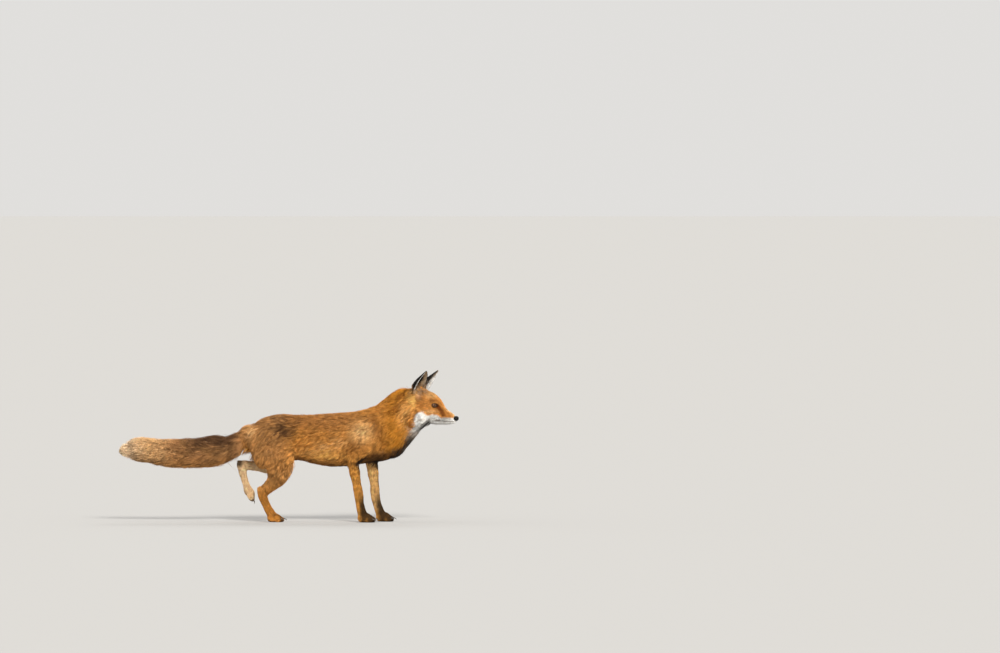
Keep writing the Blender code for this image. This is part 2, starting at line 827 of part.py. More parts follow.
def dress(obj):
    """Gives the object its own material."""
    key = next(start for start in COLOURS if obj.name.startswith(start))
    colour, roughness = COLOURS[key]
    obj.data.materials.clear()
    obj.data.materials.append(make_material(obj.name, colour, roughness))


def centre_on_origin(objects):
    """Puts the middle of the bounding box over the origin."""
    corners = [vertex.co for obj in objects for vertex in obj.data.vertices]
    low = [min(corner[axis] for corner in corners) for axis in range(2)]
    high = [max(corner[axis] for corner in corners) for axis in range(2)]
    shift = Vector([-(a + b) / 2 for a, b in zip(low, high)] + [0.0])
    for obj in objects:
        obj.data.transform(Matrix.Translation(shift))


def main():
    clear_scene()
    fox = new_collection("red_fox")
    cutters = new_collection("cutters")
    body = fuse_body(fox)
    flatten_soles(body, cutters)
    pieces = {cut.name: part_off(body, cut, fox, cutters) for cut in CUTS}
    body.name = "trunk"
    pieces["trunk"] = body
    head = pieces["head"]
    pieces["lower_jaw"] = part_off(head, JAW, fox, cutters)
    for side, word in ((1, "left"), (-1, "right")):
        spot = (EYE_PLACE.x, side * EYE_PLACE.y, EYE_PLACE.z)
        eye = make_ball(f"eye_{word}", spot, [EYE_RADIUS] * 3, fox, 12, 8)
        ear = make_ear(f"ear_{word}", EARS[word], fox)
        seat(head, eye, cutters)
        seat(head, ear, cutters)
        pieces[eye.name] = eye
        pieces[ear.name] = ear
    nose = make_ball("nose", NOSE_PLACE, NOSE_RADII, fox, 14, 9)
    seat(head, nose, cutters)
    seat(pieces["lower_jaw"], nose, cutters)
    for side in (1, -1):
        spot = (NOSTRIL_PLACE.x, side * NOSTRIL_PLACE.y, NOSTRIL_PLACE.z)
        hole = make_ball("nostril_room", spot, NOSTRIL_RADII, cutters, 6, 5, side * 28, 0)
        boolean(nose, hole, "DIFFERENCE")
    pieces["nose"] = nose
    for paw in PAWS:
        limb, word = paw.name.split("_")
        for toe, (centre, splay) in TOES.items():
            side = 1 if word == "left" else -1
            flipped = (centre[0], -side * centre[1], centre[2])
            claw = make_claw(f"claw_{paw.name}_{toe}", paw, flipped, -side * splay, fox)
            seat(pieces[f"{limb}paw_{word}"], claw, cutters)
            pieces[claw.name] = claw
    for piece in pieces.values():
        dress(piece)
    centre_on_origin(list(pieces.values()))
    for obj in cutters.objects:
        obj.hide_render = True
        obj.display_type = "WIRE"
    cutters.hide_render = True


main()
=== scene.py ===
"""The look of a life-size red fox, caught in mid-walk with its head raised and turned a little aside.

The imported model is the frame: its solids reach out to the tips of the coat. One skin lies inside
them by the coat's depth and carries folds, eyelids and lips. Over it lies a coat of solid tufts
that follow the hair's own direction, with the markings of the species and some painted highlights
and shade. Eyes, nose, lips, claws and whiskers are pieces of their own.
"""

import logging
import math
from dataclasses import dataclass, fields
from enum import Enum
from itertools import product
from typing import Iterable, Sequence

import bmesh
import bpy
import numpy as np
from mathutils import Matrix, Vector
from mathutils.bvhtree import BVHTree
from mathutils.kdtree import KDTree


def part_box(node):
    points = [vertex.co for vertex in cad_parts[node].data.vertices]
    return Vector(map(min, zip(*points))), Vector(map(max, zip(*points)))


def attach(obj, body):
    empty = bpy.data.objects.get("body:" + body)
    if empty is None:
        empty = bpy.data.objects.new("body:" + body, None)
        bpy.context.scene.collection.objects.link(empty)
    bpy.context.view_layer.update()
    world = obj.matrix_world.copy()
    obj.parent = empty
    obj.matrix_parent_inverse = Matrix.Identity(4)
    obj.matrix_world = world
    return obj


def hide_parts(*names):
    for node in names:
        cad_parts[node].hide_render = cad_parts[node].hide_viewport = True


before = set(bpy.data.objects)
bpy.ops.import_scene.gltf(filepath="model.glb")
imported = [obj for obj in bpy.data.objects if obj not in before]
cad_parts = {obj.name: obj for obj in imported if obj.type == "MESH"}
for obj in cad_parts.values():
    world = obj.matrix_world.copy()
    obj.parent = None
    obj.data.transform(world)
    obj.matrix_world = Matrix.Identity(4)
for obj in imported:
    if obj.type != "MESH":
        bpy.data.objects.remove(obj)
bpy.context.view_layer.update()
LOG = logging.getLogger("red_fox")

MIDLINE = 0.0048  # where the body's plane of symmetry stands on the Y axis
CLEARANCE = 0.0002  # between the floor and the lowest skin and hair
WELD = 1e-5  # vertices of the frame's solids this close are one
SEED = 7

Triple = tuple[float, float, float]  # a place, a direction or a colour
Shape = tuple[np.ndarray, np.ndarray]  # points and faces, one a row


class Side(Enum):
    """Which side of the fox a piece is on; the value is the sign of its Y."""

    LEFT = 1
    RIGHT = -1

    @property
    def word(self) -> str:
        """The side's name as the nodes spell it."""
        return self.name.lower()


class Region(Enum):
    """The stretches of the body whose tufts make separate coat pieces."""

    HEAD = "head"
    EAR = "ear"
    NECK = "neck"
    TRUNK = "trunk"
    THIGH = "thigh"
    LEG = "leg"
    TAIL = "tail"


# Arithmetic ------------------------------------------------------------------------------------


def unit(vectors: np.ndarray) -> np.ndarray:
    """Scales each row to length one."""
    length = np.linalg.norm(vectors, axis=-1, keepdims=True)
    return vectors / np.maximum(length, 1e-12)


def ease(low: float, high: float, values: np.ndarray) -> np.ndarray:
    """Rises smoothly from 0 at low to 1 at high, or falls if high is under low."""
    share = np.clip((values - low) / (high - low), 0.0, 1.0)
    return share * share * (3.0 - 2.0 * share)


def bell(values: np.ndarray, middle: float, size: float) -> np.ndarray:
    """1 at the middle, and softly down to 0 on both sides."""
    return np.exp(-(((values - middle) / size) ** 2))


def blend(first: np.ndarray, second: np.ndarray, share: np.ndarray) -> np.ndarray:
    """Mixes two colours or two rows of colours by a share for each row."""
    share = share[:, None]
    return first * (1.0 - share) + second * share


def box_of(name: str) -> tuple[np.ndarray, np.ndarray]:
    """The middle of a node's box, and half its sides."""
    low, high = (np.array(corner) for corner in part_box(name))
    return (low + high) / 2, (high - low) / 2


def ripple(points: np.ndarray, size: float, phase: float) -> np.ndarray:
    """A smooth irregular pattern in space, about -1 to 1.

    Args:
        points: Places, one a row.
        size: The pattern's grain in metres.
        phase: Which of many patterns.

    Returns:
        One number a place.
    """
    total = np.zeros(len(points))
    for k in range(5):
        angle = phase * 1.7 + k * 2.399
        tilt = math.sin(phase + k * 1.3)
        axis = np.array([math.cos(angle), math.sin(angle), tilt])
        wave = points @ axis * (2 * math.pi / size) * (0.7 + 0.23 * k)
        bend = np.sin(points @ np.roll(axis, 1) * (2 * math.pi / size) * 0.6 + k)
        total += np.sin(wave + phase * (k + 1) + 1.5 * bend)
    return total / 3.0


@dataclass(frozen=True)
class HeadFrame:
    """The head's own axes: x forward along the muzzle, y to its left, z up."""

    pivot: Triple = (0.3833, 0.0028, 0.3720)
    turn: float = math.radians(-17)

    @property
    def axes(self) -> np.ndarray:
        """The head's axes as the rows of a matrix."""
        along, aside = math.cos(self.turn), math.sin(self.turn)
        return np.array([[along, aside, 0.0], [-aside, along, 0.0], [0.0, 0.0, 1.0]])

    def inside(self, points: np.ndarray) -> np.ndarray:
        """Places in the world, told in the head's axes."""
        return (points - np.array(self.pivot)) @ self.axes.T

    def outside(self, points: np.ndarray) -> np.ndarray:
        """Places in the head's axes, told in the world's."""
        return points @ self.axes + np.array(self.pivot)

    def turned(self, directions: np.ndarray) -> np.ndarray:
        """Directions in the head's axes, told in the world's."""
        return directions @ self.axes


HEAD = HeadFrame()


# Materials -------------------------------------------------------------------------------------


TINT = "coat_tint"  # the vertex colours of the skin and the coat


class Wire:
    """A socket's value inside a material; arithmetic on it adds Math nodes."""

    def __init__(self, weave: "Weave", socket: bpy.types.NodeSocket) -> None:
        """Keeps the socket and the material that it is in."""
        self.weave = weave
        self.socket = socket

    def _math(self, operation: str, first: object, second: object) -> "Wire":
        """Adds one Math node and gives its result."""
        return self.weave.node("ShaderNodeMath", {"operation": operation}, {0: first, 1: second})

    def __add__(self, other: object) -> "Wire":
        """self + other"""
        return self._math("ADD", self, other)

    __radd__ = __add__

    def __mul__(self, other: object) -> "Wire":
        """self * other"""
        return self._math("MULTIPLY", self, other)

    __rmul__ = __mul__

    def __sub__(self, other: object) -> "Wire":
        """self - other"""
        return self._math("SUBTRACT", self, other)

    def __rsub__(self, other: object) -> "Wire":
        """other - self"""
        return self._math("SUBTRACT", other, self)

    def __truediv__(self, other: object) -> "Wire":
        """self / other"""
        return self._math("DIVIDE", self, other)

    def __pow__(self, other: object) -> "Wire":
        """self to the power of other"""
        return self._math("POWER", self, other)

    def below(self, edge: float, soft: float) -> "Wire":
        """1 under the edge and 0 over it, with a soft step between."""
        settings = {"interpolation_type": "SMOOTHSTEP"}
        ends = {"From Min": edge - soft, "From Max": edge + soft, "To Min": 1.0, "To Max": 0.0}
        return self.weave.node("ShaderNodeMapRange", settings, {"Value": self, **ends})


class Weave:
    """Builds one material round a Principled shader."""

    def __init__(self, name: str, **constants: object) -> None:
        """Starts the material.

        Args:
            name: The material's name.
            constants: The shader's own sockets, spelt with _ for a space.
        """
        self.material = bpy.data.materials.new(name)
        self.material.use_nodes = True
        self.tree = self.material.node_tree
        self.shader = self.tree.nodes["Principled BSDF"]
        for key, value in constants.items():
            self.shader.inputs[key.replace("_", " ")].default_value = value

    def node(
        self, kind: str, settings: dict | None = None, sockets: dict | None = None, out: object = 0
    ) -> Wire:
        """Adds a node.

        Args:
            kind: The node's type.
            settings: Its properties.
            sockets: A value or a Wire for each input, by name or number.
            out: Which output to give back.

        Returns:
            The output as a Wire.
        """
        made = self.tree.nodes.new(kind)
        for key, value in (settings or {}).items():
            setattr(made, key, value)
        for key, value in (sockets or {}).items():
            if isinstance(value, Wire):
                self.tree.links.new(value.socket, made.inputs[key])
            else:
                made.inputs[key].default_value = value
        return Wire(self, made.outputs[out])

    def mix(self, share: object, first: object, second: object, mode: str = "MIX") -> Wire:
        """Mixes two colours, each a Wire or three numbers."""
        sockets = {0: share, 6: self._colour(first), 7: self._colour(second)}
        return self.node("ShaderNodeMix", {"data_type": "RGBA", "blend_type": mode}, sockets, 2)

    @staticmethod
    def _colour(value: object) -> object:
        """Three numbers get their alpha."""
        return value if isinstance(value, Wire) else (*value, 1.0)

    def place(self) -> Wire:
        """The place on the object, in its own space."""
        return self.node("ShaderNodeTexCoord", out="Object")

    def noise(self, scale: float, detail: float = 3.0, stretch: Triple = (1, 1, 1)) -> Wire:
        """A noise in the object's own space, about 0 to 1."""
        place = self.node("ShaderNodeVectorMath", {"operation": "MULTIPLY"}, {0: self.place(), 1: stretch})
        return self.node("ShaderNodeTexNoise", {}, {"Vector": place, "Scale": scale, "Detail": detail}, "Fac")

    def tinted(self, shade: Wire) -> None:
        """Colours the surface with the vertices' own tint, times a shade of grey."""
        own = self.node("ShaderNodeAttribute", {"attribute_name": TINT}, out="Color")
        grey = self.node("ShaderNodeCombineColor", {}, {0: shade, 1: shade, 2: shade})
        self.feed("Base Color", self.mix(1.0, own, grey, "MULTIPLY"))

    def feed(self, socket: str, value: Wire) -> None:
        """Links a value to one of the shader's sockets."""
        self.tree.links.new(value.socket, self.shader.inputs[socket])

    def bump(self, height: Wire, distance: float) -> None:
        """Raises the surface by a height that is up to the distance."""
        self.feed("Normal", self.node("ShaderNodeBump", {}, {"Distance": distance, "Height": height}))


@dataclass(frozen=True)
class CoatFinish:
    """Hair: the tuft's own tint, a little uneven along and across the body."""

    roughness: float = 0.68
    unevenness: float = 0.22
    grain: float = 150.0

    def make(self) -> bpy.types.Material:
        """Builds the material."""
        weave = Weave("coat", Roughness=self.roughness, Specular_IOR_Level=0.15)
        weave.tinted(weave.noise(self.grain) * self.unevenness + (1.0 - 0.5 * self.unevenness))
        return weave.material


@dataclass(frozen=True)
class SkinFinish:
    """The skin under the coat, and the flat hair that lies on it, in the markings' tints."""

    roughness: float = 0.78
    hair_size: float = 420.0
    relief: float = 0.0007

    def make(self) -> bpy.types.Material:
        """Builds the material."""
        weave = Weave("skin", Specular_IOR_Level=0.2)
        strands = weave.noise(self.hair_size, 2.0, (0.35, 1.0, 0.35))
        weave.tinted(strands * 0.5 + 0.72)
        weave.feed("Roughness", strands * 0.15 + (self.roughness - 0.07))
        weave.bump(strands, self.relief)
        return weave.material


@dataclass(frozen=True)
class EyeFinish:
    """An amber iris with an upright slit pupil under a clear wet cornea."""

    radius: float
    iris: float = 0.76
    amber: Triple = (0.080, 0.027, 0.006)
    honey: Triple = (0.210, 0.074, 0.012)
    rim: Triple = (0.020, 0.008, 0.004)
    white: Triple = (0.050, 0.030, 0.022)
    pupil: Triple = (0.003, 0.003, 0.003)

    def make(self) -> bpy.types.Material:
        """Builds the material, in the eye's own space with z along the gaze and y up."""
        wet = {"Coat_Weight": 1.0, "Coat_Roughness": 0.03, "Coat_IOR": 1.5}
        weave = Weave("eye", Roughness=0.5, Specular_IOR_Level=0.0, **wet)
        place = weave.place()
        parts = {axis: weave.node("ShaderNodeSeparateXYZ", {}, {0: place}, axis) for axis in "XY"}
        across = parts["X"] / self.radius
        upward = parts["Y"] / self.radius
        distance = (across * across + upward * upward) ** 0.5
        rays = weave.node("ShaderNodeTexNoise", {}, {"Vector": place, "Scale": 900.0, "Detail": 2.0}, "Fac")
        iris = weave.mix((distance / self.iris + rays * 0.25).below(0.75, 0.35), self.amber, self.honey)
        iris = weave.mix(distance.below(self.iris * 0.86, 0.07), self.rim, iris)
        slit = ((across * across) * 6.0 + (upward * upward) * 1.8).below(0.36, 0.06)
        iris = weave.mix(slit, iris, self.pupil)
        weave.feed("Base Color", weave.mix(distance.below(self.iris, 0.03), self.white, iris))
        return weave.material


@dataclass(frozen=True)
class NoseFinish:
    """Black, finely pebbled and moist."""

    colour: Triple = (0.003, 0.003, 0.003)
    worn: Triple = (0.009, 0.008, 0.008)

    def make(self) -> bpy.types.Material:
        """Builds the material."""
        weave = Weave("nose", Coat_Weight=0.05, Coat_Roughness=0.20, Specular_IOR_Level=0.16)
        sockets = {"Vector": weave.place(), "Scale": 900.0}
        pebble = weave.node("ShaderNodeTexVoronoi", {"feature": "DISTANCE_TO_EDGE"}, sockets, "Distance")
        raised = pebble.below(0.12, 0.12)
        weave.feed("Base Color", weave.mix(raised, self.worn, self.colour))
        weave.feed("Roughness", raised * 0.25 + 0.38)
        weave.bump(1.0 - raised, 0.0003)
        return weave.material


@dataclass(frozen=True)
class HornFinish:
    """Claws: dark horn with lengthwise streaks, paler at the quick."""

    dark: Triple = (0.030, 0.023, 0.018)
    pale: Triple = (0.16, 0.125, 0.09)

    def make(self) -> bpy.types.Material:
        """Builds the material."""
        weave = Weave("horn", Roughness=0.34)
        streak = weave.noise(700.0, 2.0, (0.2, 1.0, 1.0))
        weave.feed("Base Color", weave.mix(streak.below(0.42, 0.12), self.dark, self.pale))
        weave.bump(streak, 0.0002)
        return weave.material


@dataclass(frozen=True)
class LipFinish:
    """Bare black skin: the lips' edge and the rims of the eyes."""

    name: str = "bare_skin"
    colour: Triple = (0.012, 0.009, 0.008)
    rough: float = 0.42

    def make(self) -> bpy.types.Material:
        """Builds the material."""
        weave = Weave(self.name, Specular_IOR_Level=0.3)
        patch = weave.noise(600.0)
        lighter = tuple(3.0 * part for part in self.colour)
        weave.feed("Base Color", weave.mix(patch.below(0.45, 0.2), self.colour, lighter))
        weave.feed("Roughness", patch * 0.2 + (self.rough - 0.1))
        weave.bump(patch, 0.0002)
        return weave.material


@dataclass(frozen=True)
class FloorFinish:
    """A plain pale studio floor."""

    colour: Triple = (0.468, 0.463, 0.453)

    def make(self) -> bpy.types.Material:
        """Builds the material."""
        weave = Weave("floor", Roughness=1.0, Specular_IOR_Level=0.0)
        weave.shader.inputs["Base Color"].default_value = (*self.colour, 1.0)
        return weave.material


# The lie of the coat ---------------------------------------------------------------------------


@dataclass(frozen=True)
class Place:
    """How the coat is at one named place.

    The centre's y is from the midline, outwards. In the head's axes the flow's y is outwards too.
    """

    name: str
    region: Region
    centre: Triple
    reach: float  # how far the place's word carries
    flow: Triple  # the way the hair points
    length: float
    depth: float  # from the skin to the tips
    spacing: float  # between the roots of two tufts
    width: float
    sides: tuple[Side, ...] = (Side.LEFT, Side.RIGHT)
    in_head: bool = False


BOTH = (Side.LEFT, Side.RIGHT)
LEFT = (Side.LEFT,)
RIGHT = (Side.RIGHT,)


def sides_of(centre: Triple) -> tuple[Side, ...]:
    """Both sides for a place away from the midline; a place on it is told once."""
    return BOTH if centre[1] else LEFT


def head_places() -> list[Place]:
    """The places of the head and the ears, in the head's axes."""
    rows = [  # name, centre, reach, flow, length, depth, spacing, width
        ("bridge", (0.125, 0.0, -0.034), 0.014, (-1.0, 0.0, 0.25), 0.0070, 0.0014, 0.00088, 0.00061),
        ("muzzle", (0.115, 0.016, -0.046), 0.014, (-1.0, 0.1, 0.0), 0.0080, 0.0015, 0.00088, 0.00061),
        ("lip", (0.105, 0.017, -0.057), 0.012, (-0.95, 0.1, -0.4), 0.0080, 0.0018, 0.00084, 0.00066),
        ("chin", (0.118, 0.0, -0.070), 0.014, (-1.0, 0.0, -0.2), 0.0085, 0.0018, 0.00093, 0.00071),
        ("jaw", (0.075, 0.012, -0.072), 0.018, (-0.95, 0.0, -0.25), 0.0140, 0.0035, 0.00108, 0.00092),
        ("stop", (0.096, 0.0, -0.014), 0.014, (-0.8, 0.0, 0.6), 0.0085, 0.0018, 0.00088, 0.00066),
        ("under_eye", (0.080, 0.029, -0.032), 0.015, (-1.0, 0.3, -0.15), 0.0110, 0.0026, 0.00088, 0.00071),
        ("eye", (0.0757, 0.032, -0.0095), 0.012, (-1.0, 0.3, 0.05), 0.0060, 0.0012, 0.00077, 0.00056),
        ("brow", (0.074, 0.022, 0.006), 0.012, (-0.85, 0.25, 0.5), 0.0100, 0.0022, 0.00084, 0.00066),
        ("forehead", (0.066, 0.0, 0.017), 0.018, (-0.85, 0.0, 0.5), 0.0120, 0.0028, 0.00093, 0.00076),
        ("crown", (0.035, 0.0, 0.040), 0.020, (-1.0, 0.0, 0.1), 0.0180, 0.0055, 0.00115, 0.00097),
        ("temple", (0.045, 0.036, 0.006), 0.018, (-0.95, 0.25, 0.0), 0.0160, 0.0045, 0.00104, 0.00092),
        ("cheek", (0.042, 0.044, -0.036), 0.018, (-0.9, 0.35, -0.3), 0.0240, 0.0070, 0.00115, 0.00107),
        ("ruff", (0.012, 0.057, -0.046), 0.024, (-0.75, 0.5, -0.6), 0.0360, 0.0120, 0.00138, 0.00132),
        ("ear_front", (0.044, 0.036, 0.028), 0.010, (-0.9, 0.30, 0.25), 0.0065, 0.0015, 0.00092, 0.00062),
        ("ear_outer", (0.020, 0.055, 0.020), 0.011, (-0.6, 0.25, 0.70), 0.0110, 0.0026, 0.00096, 0.00070),
        ("behind_ear", (-0.004, 0.032, 0.034), 0.014, (-0.9, 0.1, -0.4), 0.0240, 0.0050, 0.00123, 0.00112),
        ("under_jaw", (0.040, 0.0, -0.084), 0.022, (-0.9, 0.0, -0.5), 0.0260, 0.0080, 0.00131, 0.00117),
    ]
    return [
        Place(name, Region.HEAD, centre, *rest, sides_of(centre), True) for name, centre, *rest in rows
    ]


def body_places() -> list[Place]:
    """The places of the neck, the trunk and the thighs."""
    neck = [  # name, centre, reach, flow, length, depth, spacing, width
        ("nape", (0.335, 0.0, 0.405), 0.035, (-0.85, 0.0, -0.5), 0.048, 0.0170, 0.00153, 0.00108),
        ("neck_side", (0.335, 0.058, 0.335), 0.040, (-0.8, 0.0, -0.62), 0.052, 0.0200, 0.00153, 0.00111),
        ("throat", (0.392, 0.0, 0.283), 0.030, (-0.75, 0.0, -0.7), 0.042, 0.0150, 0.00146, 0.00100),
        ("neck_base", (0.285, 0.064, 0.305), 0.040, (-0.78, 0.0, -0.64), 0.048, 0.0170, 0.00160, 0.00111),
        ("forechest", (0.345, 0.0, 0.232), 0.040, (-0.5, 0.0, -0.87), 0.050, 0.0180, 0.00160, 0.00108),
    ]
    trunk = [
        ("withers", (0.245, 0.0, 0.350), 0.050, (-1.0, 0.0, -0.2), 0.046, 0.0160, 0.00201, 0.00118),
        ("back", (0.120, 0.0, 0.336), 0.065, (-1.0, 0.0, -0.04), 0.044, 0.0140, 0.00209, 0.00118),
        ("loin", (0.000, 0.0, 0.334), 0.060, (-1.0, 0.0, -0.06), 0.044, 0.0140, 0.00209, 0.00118),
        ("rump", (-0.085, 0.0, 0.322), 0.045, (-0.9, 0.0, -0.4), 0.042, 0.0140, 0.00201, 0.00115),
        ("shoulder", (0.240, 0.068, 0.295), 0.040, (-0.78, 0.0, -0.62), 0.040, 0.0125, 0.00201, 0.00115),
        ("upper_arm", (0.220, 0.066, 0.235), 0.035, (-0.6, 0.0, -0.8), 0.034, 0.0100, 0.00193, 0.00108),
        ("flank", (0.110, 0.062, 0.285), 0.060, (-0.93, 0.0, -0.36), 0.044, 0.0140, 0.00209, 0.00118),
        ("low_flank", (0.110, 0.056, 0.215), 0.050, (-0.86, 0.0, -0.5), 0.042, 0.0130, 0.00209, 0.00118),
        ("waist", (0.020, 0.055, 0.240), 0.045, (-0.85, 0.0, -0.5), 0.040, 0.0130, 0.00209, 0.00115),
        ("belly", (0.100, 0.0, 0.176), 0.050, (-1.0, 0.0, -0.1), 0.038, 0.0110, 0.00225, 0.00118),
        ("groin", (-0.010, 0.0, 0.195), 0.035, (-1.0, 0.0, 0.0), 0.026, 0.0080, 0.00225, 0.00104),
        ("breast", (0.255, 0.0, 0.195), 0.040, (-0.85, 0.0, -0.45), 0.042, 0.0130, 0.00209, 0.00115),
    ]
    thigh = [
        ("haunch", (-0.060, 0.064, 0.275), 0.040, (-0.6, 0.0, -0.8), 0.038, 0.0120, 0.00180, 0.00115),
        ("thigh", (-0.045, 0.066, 0.225), 0.035, (-0.45, 0.0, -0.9), 0.036, 0.0110, 0.00180, 0.00115),
        ("breech", (-0.115, 0.035, 0.240), 0.030, (-0.35, 0.0, -0.94), 0.036, 0.0110, 0.00173, 0.00111),
    ]
    return [
        Place(name, region, centre, *rest, sides_of(centre))
        for region, rows in ((Region.NECK, neck), (Region.TRUNK, trunk), (Region.THIGH, thigh))
        for name, centre, *rest in rows
    ]


def leg_places() -> list[Place]:
    """The places of the four legs, each in its own stride."""
    right = [
        ("elbow", (0.203, 0.046, 0.190), 0.022, (-0.15, 0.0, -1.0), 0.0240, 0.0055, 0.00197, 0.00138),
        ("forearm", (0.207, 0.042, 0.140), 0.024, (-0.05, 0.0, -1.0), 0.0150, 0.0030, 0.00168, 0.00111),
        ("wrist", (0.217, 0.040, 0.085), 0.022, (0.0, 0.0, -1.0), 0.0110, 0.0020, 0.00150, 0.00095),
        ("forefoot", (0.237, 0.040, 0.018), 0.022, (0.7, 0.0, -0.6), 0.0062, 0.0012, 0.00122, 0.00068),
        ("knee", (-0.015, 0.055, 0.185), 0.026, (-0.4, 0.0, -0.9), 0.0300, 0.0085, 0.00215, 0.00153),
        ("shank", (-0.045, 0.038, 0.135), 0.024, (-0.5, 0.0, -0.85), 0.0180, 0.0040, 0.00178, 0.00122),
        ("hock", (-0.086, 0.029, 0.098), 0.018, (0.0, 0.0, -1.0), 0.0110, 0.0020, 0.00150, 0.00095),
        ("pastern", (-0.072, 0.019, 0.055), 0.020, (0.35, 0.0, -0.93), 0.0100, 0.0018, 0.00140, 0.00090),
        ("hindfoot", (-0.044, 0.010, 0.018), 0.020, (0.8, 0.0, -0.5), 0.0062, 0.0012, 0.00122, 0.00068),
    ]
    left = [
        ("elbow", (0.256, 0.046, 0.188), 0.022, (-0.15, 0.0, -1.0), 0.0240, 0.0055, 0.00197, 0.00138),
        ("forearm", (0.262, 0.042, 0.140), 0.024, (-0.05, 0.0, -1.0), 0.0150, 0.0030, 0.00168, 0.00111),
        ("wrist", (0.268, 0.040, 0.080), 0.022, (0.1, 0.0, -1.0), 0.0110, 0.0020, 0.00150, 0.00095),
        ("forefoot", (0.293, 0.040, 0.018), 0.022, (0.7, 0.0, -0.6), 0.0062, 0.0012, 0.00122, 0.00068),
        ("knee", (-0.020, 0.055, 0.180), 0.024, (-0.5, 0.0, -0.85), 0.0260, 0.0070, 0.00206, 0.00148),
        ("shank", (-0.095, 0.042, 0.172), 0.024, (-1.0, 0.0, -0.05), 0.0150, 0.0032, 0.00168, 0.00111),
        ("hock", (-0.152, 0.039, 0.182), 0.018, (-0.3, 0.0, -0.95), 0.0100, 0.0018, 0.00140, 0.00090),
        ("pastern", (-0.142, 0.038, 0.135), 0.020, (0.2, 0.0, -1.0), 0.0100, 0.0018, 0.00140, 0.00090),
        ("hindfoot", (-0.124, 0.036, 0.080), 0.020, (0.4, 0.0, -0.9), 0.0062, 0.0012, 0.00122, 0.00068),
    ]
    return [
        Place(name, Region.LEG, *rest, sides)
        for rows, sides in ((right, RIGHT), (left, LEFT))
        for name, *rest in rows
    ]


def tail_places() -> list[Place]:
    """The places of the brush, from the root to its end."""
    rows = [
        ("root", (-0.128, 0.0, 0.278), 0.026, (-0.85, 0.0, -0.5), 0.036, 0.0110, 0.00167, 0.00115),
        ("bend", (-0.152, 0.0, 0.250), 0.026, (-0.85, 0.0, -0.5), 0.044, 0.0150, 0.00160, 0.00119),
        ("brush_top", (-0.220, 0.0, 0.262), 0.036, (-1.0, 0.0, -0.12), 0.056, 0.0240, 0.00152, 0.00127),
        ("brush_under", (-0.225, 0.0, 0.180), 0.036, (-0.93, 0.0, -0.35), 0.060, 0.0250, 0.00152, 0.00127),
        ("middle_top", (-0.310, 0.0, 0.252), 0.045, (-1.0, 0.0, -0.02), 0.060, 0.0260, 0.00152, 0.00127),
        ("middle_under", (-0.310, 0.0, 0.172), 0.045, (-0.96, 0.0, -0.25), 0.062, 0.0260, 0.00152, 0.00127),
        ("late_top", (-0.400, 0.0, 0.252), 0.045, (-1.0, 0.0, 0.03), 0.058, 0.0240, 0.00152, 0.00127),
        ("late_under", (-0.400, 0.0, 0.182), 0.045, (-0.97, 0.0, -0.15), 0.060, 0.0240, 0.00152, 0.00127),
        ("tip", (-0.475, 0.0, 0.224), 0.035, (-1.0, 0.0, -0.05), 0.050, 0.0180, 0.00144, 0.00119),
        ("end", (-0.515, 0.0, 0.217), 0.024, (-1.0, 0.0, -0.1), 0.032, 0.0200, 0.00136, 0.00107),
    ]
    return [Place(name, Region.TAIL, *rest, LEFT) for name, *rest in rows]


@dataclass(frozen=True)
class EarShape:
    """One ear in the head's axes: the line from its root to its tip, and the way its cup faces."""

    side: Side
    root: Triple
    facing: Triple
    tip: Triple = (0.0635, 0.0605, 0.0965)
    widest: float = 0.0256

    def _own(self, value: Triple) -> np.ndarray:
        """One of the ear's vectors for this side."""
        return np.array([value[0], self.side.value * value[1], value[2]])

    @property
    def foot(self) -> np.ndarray:
        """The ear's root, in the world."""
        return HEAD.outside(self._own(self.root))

    @property
    def along(self) -> np.ndarray:
        """The way the ear points, in the world."""
        return HEAD.turned(unit(self._own(self.tip) - self._own(self.root)))

    @property
    def opening(self) -> np.ndarray:
        """The way its cup faces, in the world, square to the ear."""
        facing = HEAD.turned(self._own(self.facing))
        return unit(facing - self.along * (facing @ self.along))

    @property
    def outwards(self) -> np.ndarray:
        """The way across the ear and away from the head's middle, in the world."""
        across = np.cross(self.along, self.opening)
        return across * np.sign(HEAD.axes[1] @ across) * self.side.value

    def half_width(self, height: np.ndarray) -> np.ndarray:
        """Half the ear's width at some heights, from 0 at its root to 1 at its tip."""
        return self.widest * np.interp(height, (0.0, 0.4, 0.6, 0.8, 1.0), (0.7, 1.0, 0.86, 0.55, 0.12))

    def owns(self, points: np.ndarray) -> np.ndarray:
        """Whether points are on the ear's side of the head."""
        return np.sign(HEAD.inside(points)[:, 1]) == self.side.value

    def split(self, points: np.ndarray) -> tuple[np.ndarray, np.ndarray, np.ndarray]:
        """How far up the ear points are (0 root, 1 tip), how far outwards across it, and forward of it."""
        span = np.linalg.norm(self._own(self.tip) - self._own(self.root))
        away = points - self.foot
        return away @ self.along / span, away @ self.outwards, away @ self.opening


EARS = {
    Side.LEFT: EarShape(Side.LEFT, (0.0245, 0.0335, 0.0265), (0.985, 0.17, 0.0)),
    Side.RIGHT: EarShape(Side.RIGHT, (0.0232, 0.0335, 0.0265), (0.93, 0.37, 0.0)),
}


